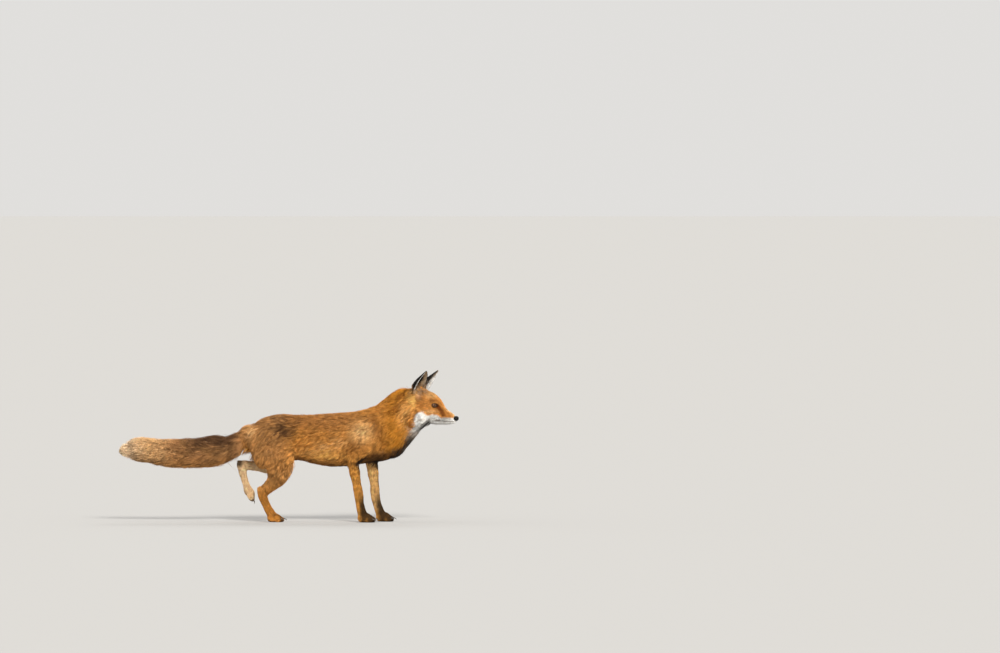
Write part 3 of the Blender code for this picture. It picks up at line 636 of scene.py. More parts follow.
@dataclass
class Lie:
    """The coat's direction and size at any point, blended from the named places."""

    centres: np.ndarray
    reaches: np.ndarray
    flows: np.ndarray
    sizes: np.ndarray  # length, depth, spacing, width
    regions: list[Region]
    softness: float = 0.08  # how gently one place passes into the next
    fall: float = 2.5  # how fast a place's word fades with distance
    batch: int = 20000  # points worked out together

    @classmethod
    def of(cls, places: Iterable[Place]) -> "Lie":
        """Collects the places of both sides in the world's axes."""
        centres, reaches, flows, sizes, regions = [], [], [], [], []
        for place in places:
            for side in place.sides:
                mirror = np.array([1.0, side.value, 1.0])
                centre = np.array(place.centre) * mirror
                flow = unit(np.array(place.flow) * mirror)
                if place.in_head:
                    centre, flow = HEAD.outside(centre), HEAD.turned(flow)
                else:
                    centre = centre + np.array([0.0, MIDLINE, 0.0])
                centres.append(centre)
                reaches.append(place.reach)
                flows.append(flow)
                sizes.append((place.length, place.depth, place.spacing, place.width))
                regions.append(place.region)
        return cls(np.array(centres), np.array(reaches), np.array(flows), np.array(sizes), regions)

    def at(self, points: np.ndarray) -> tuple[np.ndarray, np.ndarray, np.ndarray]:
        """The coat at some points.

        Args:
            points: Places on the skin, one a row.

        Returns:
            The flow, the sizes (length, depth, spacing, width), and the number of the nearest place.
        """
        flow = np.empty((len(points), 3))
        sizes = np.empty((len(points), 4))
        nearest = np.empty(len(points), int)
        for start in range(0, len(points), self.batch):
            part = slice(start, start + self.batch)
            gap = np.linalg.norm(points[part, None, :] - self.centres[None], axis=2) / self.reaches
            weight = 1.0 / (gap**2 + self.softness) ** self.fall
            weight /= weight.sum(axis=1, keepdims=True)
            flow[part] = weight @ self.flows
            sizes[part] = weight @ self.sizes
            nearest[part] = weight.argmax(axis=1)
        return unit(flow), sizes, nearest


# The toes ---------------------------------------------------------------------------------------


TOES = ("inner", "mid_inner", "mid_outer", "outer")


@dataclass(frozen=True)
class Cleft:
    """The gap between two toes, found from their claws."""

    middle: np.ndarray
    across: np.ndarray
    back: np.ndarray
    narrow: float = 0.0016  # half the groove's width

    @classmethod
    def all(cls) -> "list[Cleft]":
        """Every cleft of the four feet."""
        found = []
        for limb, side in product(("fore", "hind"), Side):
            claws = [box_of(f"claw_{limb}_{side.word}_{toe}")[0] for toe in TOES]
            back = unit(box_of(f"{limb}paw_{side.word}")[0] - np.mean(claws, axis=0))
            found += [cls((a + b) / 2, unit(b - a), back) for a, b in zip(claws, claws[1:])]
        return found

    def press(self, points: np.ndarray) -> np.ndarray:
        """How much of the cleft's depth some points get."""
        away = points - self.middle
        along = away @ self.back
        near = ease(0.020, 0.014, np.linalg.norm(away - along[:, None] * self.back, axis=1))
        groove = bell(away @ self.across, 0.0, self.narrow)
        return groove * ease(-0.012, -0.002, along) * ease(0.026, 0.012, along) * near


CLEFTS = Cleft.all()


def pressed(points: np.ndarray) -> np.ndarray:
    """How much of the clefts' depth some points get, 0 to 1."""
    return np.max([cleft.press(points) for cleft in CLEFTS], axis=0)


# Markings and painted light ------------------------------------------------------------------------


def tint(red: float, green: float, blue: float) -> np.ndarray:
    """A colour of hair, or how much of each of its parts stays."""
    return np.array([red, green, blue])


class Palette:
    """The hair colours, some of them also laid as painted highlights and shade."""

    gold = tint(0.62, 0.280, 0.062)
    bright = tint(1.00, 0.540, 0.140)
    face = tint(0.66, 0.285, 0.066)
    brown = tint(0.46, 0.205, 0.062)
    dark = tint(0.090, 0.040, 0.018)
    sable = tint(0.240, 0.075, 0.012)
    black = tint(0.007, 0.005, 0.004)
    pale = tint(0.95, 0.600, 0.270)
    cream = tint(0.94, 0.720, 0.480)
    white = tint(0.95, 0.920, 0.870)
    grizzle = tint(0.52, 0.260, 0.092)
    brush = tint(0.56, 0.275, 0.104)


def spot(x: np.ndarray, z: np.ndarray, at: tuple, size: tuple) -> np.ndarray:
    """1 at one place of a plane, and softly down to 0 round it."""
    return bell(x, at[0], size[0]) * bell(z, at[1], size[1])


def mouth_height(x: np.ndarray) -> np.ndarray:
    """The height of the line between the lips, in the head's axes."""
    return -0.0605 + (0.139 - x) * 0.043


@dataclass
class Layer:
    """A colour for each of some hairs, or at first one for all, with others laid over it."""

    colours: np.ndarray

    def lay(self, colour: np.ndarray, share: np.ndarray) -> None:
        """Lays a colour over the layer, by a share for each hair."""
        self.colours = blend(self.colours, colour, share)


@dataclass
class Hair:
    """Some hairs: where they grow, and the layers of their main colour and of their ends' colour."""

    points: np.ndarray
    normals: np.ndarray
    ears: np.ndarray  # 1 on an ear, 0 elsewhere

    def __post_init__(self) -> None:
        """Works out what the markings go by."""
        self.x, y, self.z = self.points.T
        self.y = y - MIDLINE
        self.out = np.abs(self.y)
        self.head = HEAD.inside(self.points)
        self.cloud = ripple(self.points, 0.060, 1.0)
        self.fleck = ripple(self.points, 0.022, 3.0)
        self.saddle = ease(0.262, 0.322, self.z + 0.010 * self.cloud) * ease(0.30, 0.20, self.x)
        self.rear = ease(0.03, -0.045, self.x) * ease(0.13, 0.20, self.z)
        self.main = Layer(Palette.gold)
        self.end = Layer(Palette.gold)


@dataclass(frozen=True)
class Markings:
    """The fox's pattern, with painted highlights and painted shade on the body and the face, for skin and
    coat alike.
    """

    # The upper edge of the white along the side of the face: x and z in the head's axes.
    white_edge: tuple[tuple[float, float], ...] = (
        *((0.010, -0.0850), (0.017, -0.0600), (0.022, -0.0450), (0.030, -0.0340), (0.040, -0.0300)),
        *((0.050, -0.0360), (0.060, -0.0405), (0.072, -0.0385), (0.086, -0.0405), (0.096, -0.0500)),
        *((0.104, -0.0475), (0.150, -0.0490)),
    )

    def paint(
        self, points: np.ndarray, normals: np.ndarray, ears: np.ndarray
    ) -> tuple[np.ndarray, np.ndarray]:
        """The colours of the hair that grows at some points.

        Args:
            points: Roots, one a row.
            normals: The skin's normals there.
            ears: 1 on an ear, 0 elsewhere.

        Returns:
            The hair's main colour and the colour of its end.
        """
        hair = Hair(points, normals, ears)
        self._body(hair)
        self._neck(hair)
        self._shadows(hair)
        self._tail(hair)
        self._legs(hair)
        self._front(hair)
        self._face(hair)
        self._ears(hair)
        return hair.main.colours, hair.end.colours

    @staticmethod
    def _body(hair: Hair) -> None:
        """The saddle, rump and loin's dark blotches; painted highlights on the shoulder and lower flank, with
        a paler band there that is partly painted light; painted shade on the upper arm and the shoulder's
        crease.
        """
        x, z, cloud, fleck, main = hair.x, hair.z, hair.cloud, hair.fleck, hair.main
        side = ease(0.02, 0.04, hair.out)
        bulge = ease(0.03, 0.05, hair.out)
        main.lay(Palette.brown, 0.75 * hair.saddle * ease(0.25, 0.16, x + 0.02 * cloud))
        main.lay(Palette.grizzle, 0.8 * hair.rear)
        hind = ease(0.08, -0.01, x) * ease(-0.13, -0.06, x) * ease(0.23, 0.27, z)
        blotch = 0.60 * ease(0.0, 0.8, fleck + 0.5 * cloud) * hind
        loin = 0.65 * spot(x, z, (-0.025, 0.290), (0.030, 0.030)) * ease(-0.8, 0.2, fleck)
        main.lay(Palette.dark, np.clip(blotch + loin, 0.0, 0.85))
        # painted highlight: a pale patch on the shoulder
        main.lay(Palette.pale, 0.92 * bulge * spot(x, z, (0.226, 0.280), (0.034, 0.031)))
        # painted highlight: a bright patch low on the flank
        main.lay(Palette.bright, 0.80 * side * spot(x, z, (0.115, 0.205), (0.055, 0.018)))
        # a paler band along the lower flank, partly paler hair and partly painted light
        band = spot(x, z - 0.25 * (x - 0.125), (0.125, 0.236), (0.075, 0.020))
        main.lay(Palette.pale, 0.42 * side * band * ease(-0.9, 0.3, fleck))
        # painted shade: a dark spot on the upper arm
        main.lay(Palette.sable, 0.55 * bulge * spot(x, z, (0.196, 0.226), (0.024, 0.024)))
        # painted shade in the crease behind the shoulder
        crease = bell(x - (0.285 - z) * 0.45, 0.277, 0.013)
        main.lay(Palette.sable, 0.55 * bulge * crease * ease(0.215, 0.24, z) * ease(0.355, 0.32, z))

    @staticmethod
    def _neck(hair: Hair) -> None:
        """Rich gold, darker along the nape, with painted shade in streaks down the neck's side and two
        painted highlights behind the cheek.
        """
        x, z, cloud, fleck, main = hair.x, hair.z, hair.cloud, hair.fleck, hair.main
        main.lay(Palette.gold * tint(0.97, 0.90, 0.45), ease(0.27, 0.33, x))
        nape = ease(0.365, 0.395, z) * ease(0.29, 0.33, x)
        main.lay(Palette.sable * tint(1.3, 1.4, 0.7), 0.62 * nape * ease(-0.6, 0.5, fleck))
        # painted highlight: a bright patch on the side of the neck behind the cheek
        painted_highlight = spot(x, z, (0.358, 0.335), (0.022, 0.040)) * ease(0.02, 0.04, hair.out)
        main.lay(Palette.bright * tint(1.0, 1.0, 1.3), 0.80 * painted_highlight)
        # a second, smaller painted highlight higher up behind the cheek
        painted_highlight = spot(x, z, (0.376, 0.376), (0.014, 0.024)) * ease(0.01, 0.03, hair.out)
        main.lay(Palette.bright * tint(1.0, 1.03, 1.15), np.clip(1.1 * painted_highlight, 0.0, 1.0))
        # painted shade down the side of the neck, broken into streaks
        shade = ease(0.29, 0.32, x) * ease(0.370, 0.350, x) * ease(0.275, 0.345, z)
        streaks = ease(0.1, 0.7, 0.5 * fleck - 0.6 * cloud)
        main.lay(Palette.sable * tint(1.1, 1.1, 0.6), 0.75 * shade * streaks)

    @staticmethod
    def _shadows(hair: Hair) -> None:
        """The dark ends of the back's hair, and the dark underside and breast, partly dark hair and partly
        painted shade.
        """
        x, z, rise = hair.x, hair.z, hair.normals[:, 2]
        hair.end = Layer(hair.main.colours * tint(1.12, 1.08, 1.0))
        ticks = 0.55 * (hair.saddle + 0.6 * hair.rear) * ease(-0.4, 0.6, hair.fleck)
        hair.end.lay(Palette.dark, np.clip(ticks, 0.0, 1.0))
        # the underside, darker where it faces down, and the breast between the forelegs: partly dark hair,
        # partly painted shade
        under = ease(-0.35, -0.8, rise) * ease(0.215, 0.195, z) * ease(0.33, 0.29, x) * ease(-0.09, -0.04, x)
        breast = ease(0.236, 0.212, z) * ease(0.235, 0.262, x) * ease(0.25, 0.0, rise + 0.3)
        for where, main_share, end_share in ((under, 0.85, 0.70), (breast, 0.80, 0.60)):
            hair.main.lay(Palette.dark, main_share * where)
            hair.end.lay(Palette.dark, end_share * where)

    @staticmethod
    def _tail(hair: Hair) -> None:
        """The brush: dark above near its root, buff at its end, dark hair ends below."""
        x, z, rise, cloud, fleck = hair.x, hair.z, hair.normals[:, 2], hair.cloud, hair.fleck
        brush = Layer(blend(Palette.brush, Palette.grizzle, ease(-0.3, 0.8, cloud)))
        dark_top = 0.9 * ease(-0.15, -0.18, x) * ease(-0.37, -0.27, x) * ease(-0.1, 0.6, rise)
        near = 0.25 * ease(-0.29, -0.20, x) * ease(-0.6, 0.4, cloud)
        brush.lay(Palette.dark, np.clip(dark_top + near, 0.0, 0.92))
        buff = ease(-0.33, -0.43, x + 0.014 * fleck)
        brush.lay(Palette.pale * tint(0.86, 0.83, 0.84), 0.9 * buff)
        brush.lay(Palette.cream * tint(0.96, 0.92, 0.90), 0.8 * ease(-0.435, -0.500, x + 0.010 * fleck))
        tip = Layer(brush.colours * 1.05)
        tip.lay(Palette.dark, 0.45 * ease(-0.5, 0.5, fleck) * (1.0 - 0.7 * buff))
        below = ease(0.0, -0.7, rise) * ease(-0.505, -0.46, x)
        brush.lay(Palette.dark, 0.75 * below * buff)
        brush.lay(Palette.dark, 0.42 * below * (1.0 - buff))
        tip.lay(Palette.dark, 0.6 * below)
        root = ease(-0.105, -0.135, x) * ease(-0.20, -0.155, x) * ease(0.20, 0.21, z)
        hair.main.lay(Palette.bright * tint(0.9, 0.78, 0.6), 0.9 * root * ease(0.3, -0.5, rise))
        hair.main.lay(Palette.pale, 0.85 * spot(x, z, (-0.122, 0.277), (0.018, 0.018)))
        tail = ease(-0.138, -0.160, x) * ease(0.150, 0.160, z + 0.5 * ease(-0.165, -0.175, x))
        hair.main.lay(brush.colours, tail)
        hair.end.lay(tip.colours, tail)

    @staticmethod
    def _legs(hair: Hair) -> None:
        """Orange legs, pale inside, with black fronts to the forelegs, dark paws, and painted shade in the
        clefts between the toes.
        """
        x, y, z, main = hair.x, hair.y, hair.z, hair.main
        forward, _, rise = hair.normals.T
        outward = hair.normals[:, 1] * np.sign(y)
        leg = ease(0.215, 0.150, z)
        main.lay(Palette.gold * tint(1.05, 0.99, 0.85), leg)
        main.lay(Palette.grizzle, 0.65 * leg * ease(0.07, 0.13, z) * ease(0.08, 0.04, x))
        main.lay(Palette.bright * tint(0.85, 0.75, 0.6), 0.6 * leg * ease(0.12, 0.16, x))
        inner = ease(-0.1, -0.7, outward) * ease(0.215, 0.19, z) * ease(0.35, 0.30, x)
        main.lay(Palette.bright * tint(0.95, 1.05, 1.6), 0.85 * inner * ease(0.02, 0.05, z))
        lifted = ease(-0.045, -0.075, x) * ease(0.012, 0.020, y) * ease(0.205, 0.195, z)
        main.lay(Palette.cream * tint(1.0, 0.90, 0.78), 0.9 * lifted * ease(0.5, -0.2, outward))
        heel = spot(x, z, (-0.158, 0.184), (0.012, 0.016)) * ease(0.012, 0.020, y)
        main.lay(Palette.black * 1.4, 0.9 * np.clip(1.5 * heel, 0.0, 1.0) * ease(0.75, -0.25, outward))
        fore = ease(0.15, 0.19, x)
        sock = ease(0.110, 0.050, z) * ease(-0.5, 0.5, forward + 0.6 * ease(0.06, 0.025, z)) * fore
        main.lay(Palette.black * 1.6, 0.9 * sock)
        main.lay(Palette.dark, 0.75 * ease(0.035, 0.012, z) * (1.0 - fore) * ease(-0.2, 0.5, forward))
        main.lay(Palette.dark, 0.6 * ease(0.105, 0.075, z) * ease(-0.07, -0.09, x) * ease(0.02, 0.03, y))
        main.lay(Palette.black * 1.5, ease(0.004, 0.001, z) * ease(-0.5, -0.9, rise))
        # painted shade in the clefts between the toes
        main.lay(main.colours * 0.30, ease(0.15, 0.6, pressed(hair.points)))
        hair.end.lay(main.colours * 1.05, ease(0.20, 0.165, z))

    @staticmethod
    def _front(hair: Hair) -> None:
        """The sooty grizzled throat and chest, paler towards the jaw."""
        x, z = hair.x, hair.z
        facing = hair.normals[:, 0] * 0.75 - hair.normals[:, 2] * 0.66
        bib = ease(0.48, 0.82, facing + 0.10 * hair.fleck) * ease(0.33, 0.30, z)
        bib *= ease(0.255, 0.29, x + 0.2 * ease(0.215, 0.200, z))
        light = ease(0.245, 0.295, z)
        speck = ease(0.2, 0.7, ripple(hair.points, 0.006, 11.0))
        flecked = np.clip(0.7 * light + 0.45 * speck * ease(0.205, 0.240, z), 0.0, 1.0)
        hair.main.lay(blend(Palette.dark * 0.3, Palette.cream * tint(0.58, 0.64, 0.76), light), bib)
        hair.end.lay(blend(Palette.black * 2.0, Palette.cream * tint(0.66, 0.72, 0.84), flecked), bib)

    def _face(self, hair: Hair) -> None:
        """White lips, cheeks and chin, dark tear streaks and brows, a greyer crown that is partly painted
        shade, painted highlights behind the cheek and on the muzzle's ridge, and painted shade in a fold of
        the cheek.
        """
        x, z, fleck = hair.head[:, 0], hair.head[:, 2], hair.fleck
        out = np.abs(hair.head[:, 1])
        skin = Layer(Palette.face)
        forehead = ease(0.006, 0.020, z) * ease(0.090, 0.074, x) * ease(0.046, 0.056, x)
        skin.lay(Palette.pale * tint(0.95, 0.95, 0.9), 0.50 * forehead)
        # a greyer crown: grizzled hair, darkened partly as painted shade beside the ears
        crown = ease(0.014, 0.034, z) * ease(0.062, 0.040, x)
        skin.lay(Palette.grizzle * tint(0.75, 0.97, 1.6), 0.85 * crown * ease(-1.3, 0.0, fleck))
        # painted highlight: a bright patch behind the cheek, below the ear
        behind = spot(x, z, (0.008, 0.006), (0.014, 0.028))
        skin.lay(Palette.bright * tint(1.0, 1.03, 1.15), np.clip(1.1 * behind, 0.0, 1.0))
        # painted highlight along the top of the muzzle
        skin.lay(Palette.pale, 0.72 * ease(0.095, 0.115, x) * ease(0.012, 0.006, out))
        brow = spot(x, z + 14.0 * (x - 0.072) ** 2, (0.072, 0.0065), (0.014, 0.0034))
        skin.lay(Palette.sable, 0.70 * brow * ease(0.010, 0.018, out))
        skin.lay(Palette.sable, 0.40 * spot(x, z, (0.092, -0.004), (0.009, 0.010)) * ease(0.006, 0.014, out))
        skin.lay(Palette.pale, 0.65 * spot(x, z, (0.066, -0.0285), (0.020, 0.0055)) * ease(0.015, 0.025, out))
        along = np.clip(((x - 0.088) * 0.5 - (z + 0.010) * 0.866) / 0.030, 0.0, 1.0)
        off = np.hypot(x - 0.0870 - 0.0170 * along, z + 0.0110 + 0.0265 * along)
        tear = ease(0.0088, 0.0032, off) * ease(0.004, 0.012, out)
        skin.lay(Palette.sable * tint(0.8, 0.55, 0.25), tear * (1.0 - 0.28 * along))
        ring = ease(0.0086, 0.0064, np.hypot((x - 0.0800) / 1.25, z + 0.0095)) * ease(0.018, 0.024, out)
        skin.lay(Palette.dark * 0.35, 0.9 * ring)
        edge = np.interp(x, *np.transpose(self.white_edge))
        skin.lay(Palette.white, ease(0.0035, -0.0035, z - edge + 0.0012 * fleck) * ease(-0.004, 0.012, x))
        line = ease(0.0016, 0.0006, np.abs(z - mouth_height(x))) * ease(0.066, 0.074, x)
        skin.lay(Palette.dark, 0.60 * line * ease(0.006, 0.010, out))
        skin.lay(Palette.dark, 0.7 * spot(x, z, (0.083, -0.0575), (0.009, 0.0018)))
        # painted shade in a fold of the lower cheek
        painted_fold_shade = spot(x, z + 0.2 * (x - 0.04), (0.040, -0.055), (0.016, 0.0022))
        skin.lay(Palette.dark * 1.6, 0.22 * painted_fold_shade * ease(0.02, 0.03, out))
        wide = np.interp(x, (0.030, 0.058), (0.0085, 0.0042))
        streak = spot(x, z - 0.9 * (x - 0.0455), (0.0410, -0.0728), (0.020, wide)) * ease(0.066, 0.054, x)
        skin.lay(Palette.black, np.clip(2.0 * streak, 0.0, 0.95))
        throat = ease(-0.084, -0.094, z) * ease(0.075, 0.05, x)
        skin.lay(Palette.dark, 0.7 * throat * ease(-0.1, 0.5, fleck + 0.3))
        face = ease(-0.012, 0.012, x) * ease(0.255, 0.285, hair.z)
        hair.main.lay(skin.colours, face)
        hair.end.lay(skin.colours * tint(1.08, 1.06, 1.02), face)

    @staticmethod
    def _ears(hair: Hair) -> None:
        """Black backs, dark hollows with a pale lining and edge, and a pale lock at the root."""
        for ear in EARS.values():
            mine = ear.owns(hair.points)
            height, across, forward = ear.split(hair.points)
            share = across / ear.half_width(height)
            rim = np.maximum(ease(0.45, 0.70, share), 0.35 * ease(-0.70, -0.92, share))
            rim *= ease(1.0, 0.88, height)
            lining = np.clip(ease(-0.46, -0.64, share) + ease(0.60, 0.82, height), 0.0, 1.0)
            hollow = blend(Palette.black, Palette.white, rim)
            hollow = blend(hollow, Palette.cream * tint(0.46, 0.42, 0.38), 0.8 * lining * (1.0 - rim))
            back = blend(Palette.gold, Palette.black, ease(0.10, 0.24, height))
            whole = blend(back, hollow, ease(-0.02, 0.32, hair.normals @ ear.opening))
            lock = spot(across, height, (0.012, 0.09), (0.009, 0.14)) * bell(forward, 0.014, 0.011)
            lock = np.clip(1.4 * lock, 0.0, 0.95) * mine
            soot = spot(across, height, (0.0, 0.06), (0.022, 0.13)) * bell(forward, -0.022, 0.011)
            soot = 0.9 * soot * mine
            weight = hair.ears * mine * ease(0.04, 0.16, height)
            for colour, end_colour, where in (
                (whole, whole * 1.1, weight),
                (Palette.cream, Palette.white, lock),
                (Palette.black, Palette.black, soot),
            ):
                hair.main.lay(colour, where)
                hair.end.lay(end_colour, where)


MARKINGS_AND_PAINTED_LIGHT = Markings()


# Meshes ----------------------------------------------------------------------------------------


def mesh_of(name: str, points: np.ndarray, faces: np.ndarray, smooth: bool = True) -> bpy.types.Object:
    """Makes an object from rows of points and of triangles or quads, quickly.

    Args:
        name: The object's name.
        points: One point a row.
        faces: The corners' numbers, one face a row.
        smooth: Whether the faces are shaded smooth.

    Returns:
        The object, in the scene.
    """
    mesh = bpy.data.meshes.new(name)
    mesh.vertices.add(len(points))
    mesh.vertices.foreach_set("co", np.asarray(points, np.float32).ravel())
    mesh.loops.add(faces.size)
    mesh.loops.foreach_set("vertex_index", np.asarray(faces, np.int32).ravel())
    mesh.polygons.add(len(faces))
    mesh.polygons.foreach_set("loop_start", np.arange(0, faces.size, faces.shape[1], dtype=np.int32))
    mesh.update(calc_edges=True)
    mesh.polygons.foreach_set("use_smooth", np.full(len(faces), smooth))
    return placed(name, mesh)


def placed(name: str, data: bpy.types.ID) -> bpy.types.Object:
    """Puts a mesh, a light or a camera into the scene."""
    obj = bpy.data.objects.new(name, data)
    bpy.context.scene.collection.objects.link(obj)
    return obj


def mesh_from(name: str, work: bmesh.types.BMesh) -> bpy.types.Mesh:
    """Turns an edited mesh into a stored one, and frees it."""
    mesh = bpy.data.meshes.new(name)
    work.to_mesh(mesh)
    work.free()
    return mesh


def solid_of(name: str) -> bmesh.types.BMesh:
    """A node's solid, for editing, with its doubled vertices made one."""
    work = bmesh.new()
    work.from_mesh(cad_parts[name].data)
    bmesh.ops.remove_doubles(work, verts=work.verts, dist=WELD)
    return work


def add_tint(obj: bpy.types.Object, colours: np.ndarray) -> None:
    """Stores a colour on each vertex."""
    layer = obj.data.color_attributes.new(TINT, "FLOAT_COLOR", "POINT")
    full = np.ones((len(colours), 4), np.float32)
    full[:, :3] = colours
    layer.data.foreach_set("color", full.ravel())


def arrays_of(mesh: bpy.types.Mesh) -> Shape:
    """A mesh's points and triangles."""
    points = np.empty(len(mesh.vertices) * 3, np.float32)
    mesh.vertices.foreach_get("co", points)
    mesh.calc_loop_triangles()
    triangles = np.empty(len(mesh.loop_triangles) * 3, np.int32)
    mesh.loop_triangles.foreach_get("vertices", triangles)
    return points.reshape(-1, 3).astype(float), triangles.reshape(-1, 3)


def normals_of(points: np.ndarray, triangles: np.ndarray) -> np.ndarray:
    """The vertices' normals, weighted by the area of the faces round them."""
    first, second, third = (points[triangles[:, k]] for k in range(3))
    flat = np.cross(second - first, third - first)
    total = np.zeros_like(points)
    for k in range(3):
        for axis in range(3):
            total[:, axis] += np.bincount(triangles[:, k], flat[:, axis], len(points))
    return unit(total)


def relaxed(points: np.ndarray, triangles: np.ndarray, weights: np.ndarray, rounds: int) -> np.ndarray:
    """Moves each point towards the middle of its neighbours.

    Args:
        points: The mesh's points.
        triangles: Its triangles.
        weights: How far each point goes, 0 to 1.
        rounds: How many times.

    Returns:
        The moved points.
    """
    ends = np.concatenate([triangles[:, [0, 1]], triangles[:, [1, 2]], triangles[:, [2, 0]]])
    ends = np.unique(np.sort(ends, axis=1), axis=0)
    first, second = ends[:, 0], ends[:, 1]
    count = np.bincount(ends.ravel(), minlength=len(points))
    for _ in range(rounds):
        total = np.empty_like(points)
        for axis in range(3):
            total[:, axis] = np.bincount(first, points[second, axis], len(points))
            total[:, axis] += np.bincount(second, points[first, axis], len(points))
        middle = total / np.maximum(count, 1)[:, None]
        points = points + (middle - points) * weights[:, None]
    return points


def evaluated(obj: bpy.types.Object) -> bpy.types.Mesh:
    """The mesh that the object's modifiers make; the modifiers are dropped."""
    graph = bpy.context.evaluated_depsgraph_get()
    mesh = bpy.data.meshes.new_from_object(obj.evaluated_get(graph))
    obj.modifiers.clear()
    obj.data = mesh
    return mesh


def finish_piece(obj: bpy.types.Object, material: bpy.types.Material) -> bpy.types.Object:
    """Gives a piece its material and its body.

    Args:
        obj: The piece.
        material: Its material.

    Returns:
        The piece.
    """
    obj.data.materials.clear()
    obj.data.materials.append(material)
    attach(obj, "root")
    LOG.info("%s: %d faces", obj.name, len(obj.data.polygons))
    return obj


# The skin --------------------------------------------------------------------------------------


LIMBS = ("ear", "thigh", "calf", "pastern", "hindpaw", "upper_foreleg", "forearm", "forepaw")
FLESH = (
    *("head", "lower_jaw", "neck", "trunk", "tail", "tail_tip"),
    *(f"{limb}_{side.word}" for limb in LIMBS for side in Side),
)


@dataclass
class EyePlace:
    """Where an eye is and which way it looks."""

    side: Side
    gaze: Triple = (0.66, 0.75, 0.03)  # for the left eye, in the head's axes
    half_width: float = 0.74  # of the opening between the lids, in eye radii
    half_height: float = 0.47
    lower: float = 0.82  # how far the lower lid opens, for the upper one's 1
    roundness: float = 2.2  # of the lids' edges

    def __post_init__(self) -> None:
        """Reads the eyeball's place from the frame and sets up its axes."""
        self.centre, half = box_of(f"eye_{self.side.word}")
        self.radius = float(half[2])
        self.out = HEAD.turned(unit(np.array([self.gaze[0], self.side.value * self.gaze[1], self.gaze[2]])))
        forward = HEAD.turned(np.array([1.0, 0.0, -0.25]))  # the inner corner lies a little lower
        self.inner = unit(forward - self.out * (forward @ self.out))
        up = np.cross(self.out, self.inner)
        self.up = up * np.sign(up[2])

    def split(self, points: np.ndarray) -> tuple[np.ndarray, np.ndarray, np.ndarray, np.ndarray]:
        """Points as seen from the eye: distance, and direction towards inner corner, up and out."""
        away = points - self.centre
        distance = np.linalg.norm(away, axis=1)
        away = away / np.maximum(distance, 1e-9)[:, None]
        return distance, away @ self.inner, away @ self.up, away @ self.out

    def lid(self, inner: np.ndarray, up: np.ndarray) -> np.ndarray:
        """How far the upper or lower lid's edge is from the eye's middle line."""
        share = np.clip(np.abs(inner) / self.half_width, 0.0, 1.0)
        return self.half_height * np.where(up > 0, 1.0, self.lower) * (1.0 - share**self.roundness)

    def openness(self, inner: np.ndarray, up: np.ndarray) -> np.ndarray:
        """How far inside the lids a direction is: over 0 inside the opening."""
        return self.lid(inner, up) - np.abs(up) - np.maximum(0.0, np.abs(inner) - self.half_width)


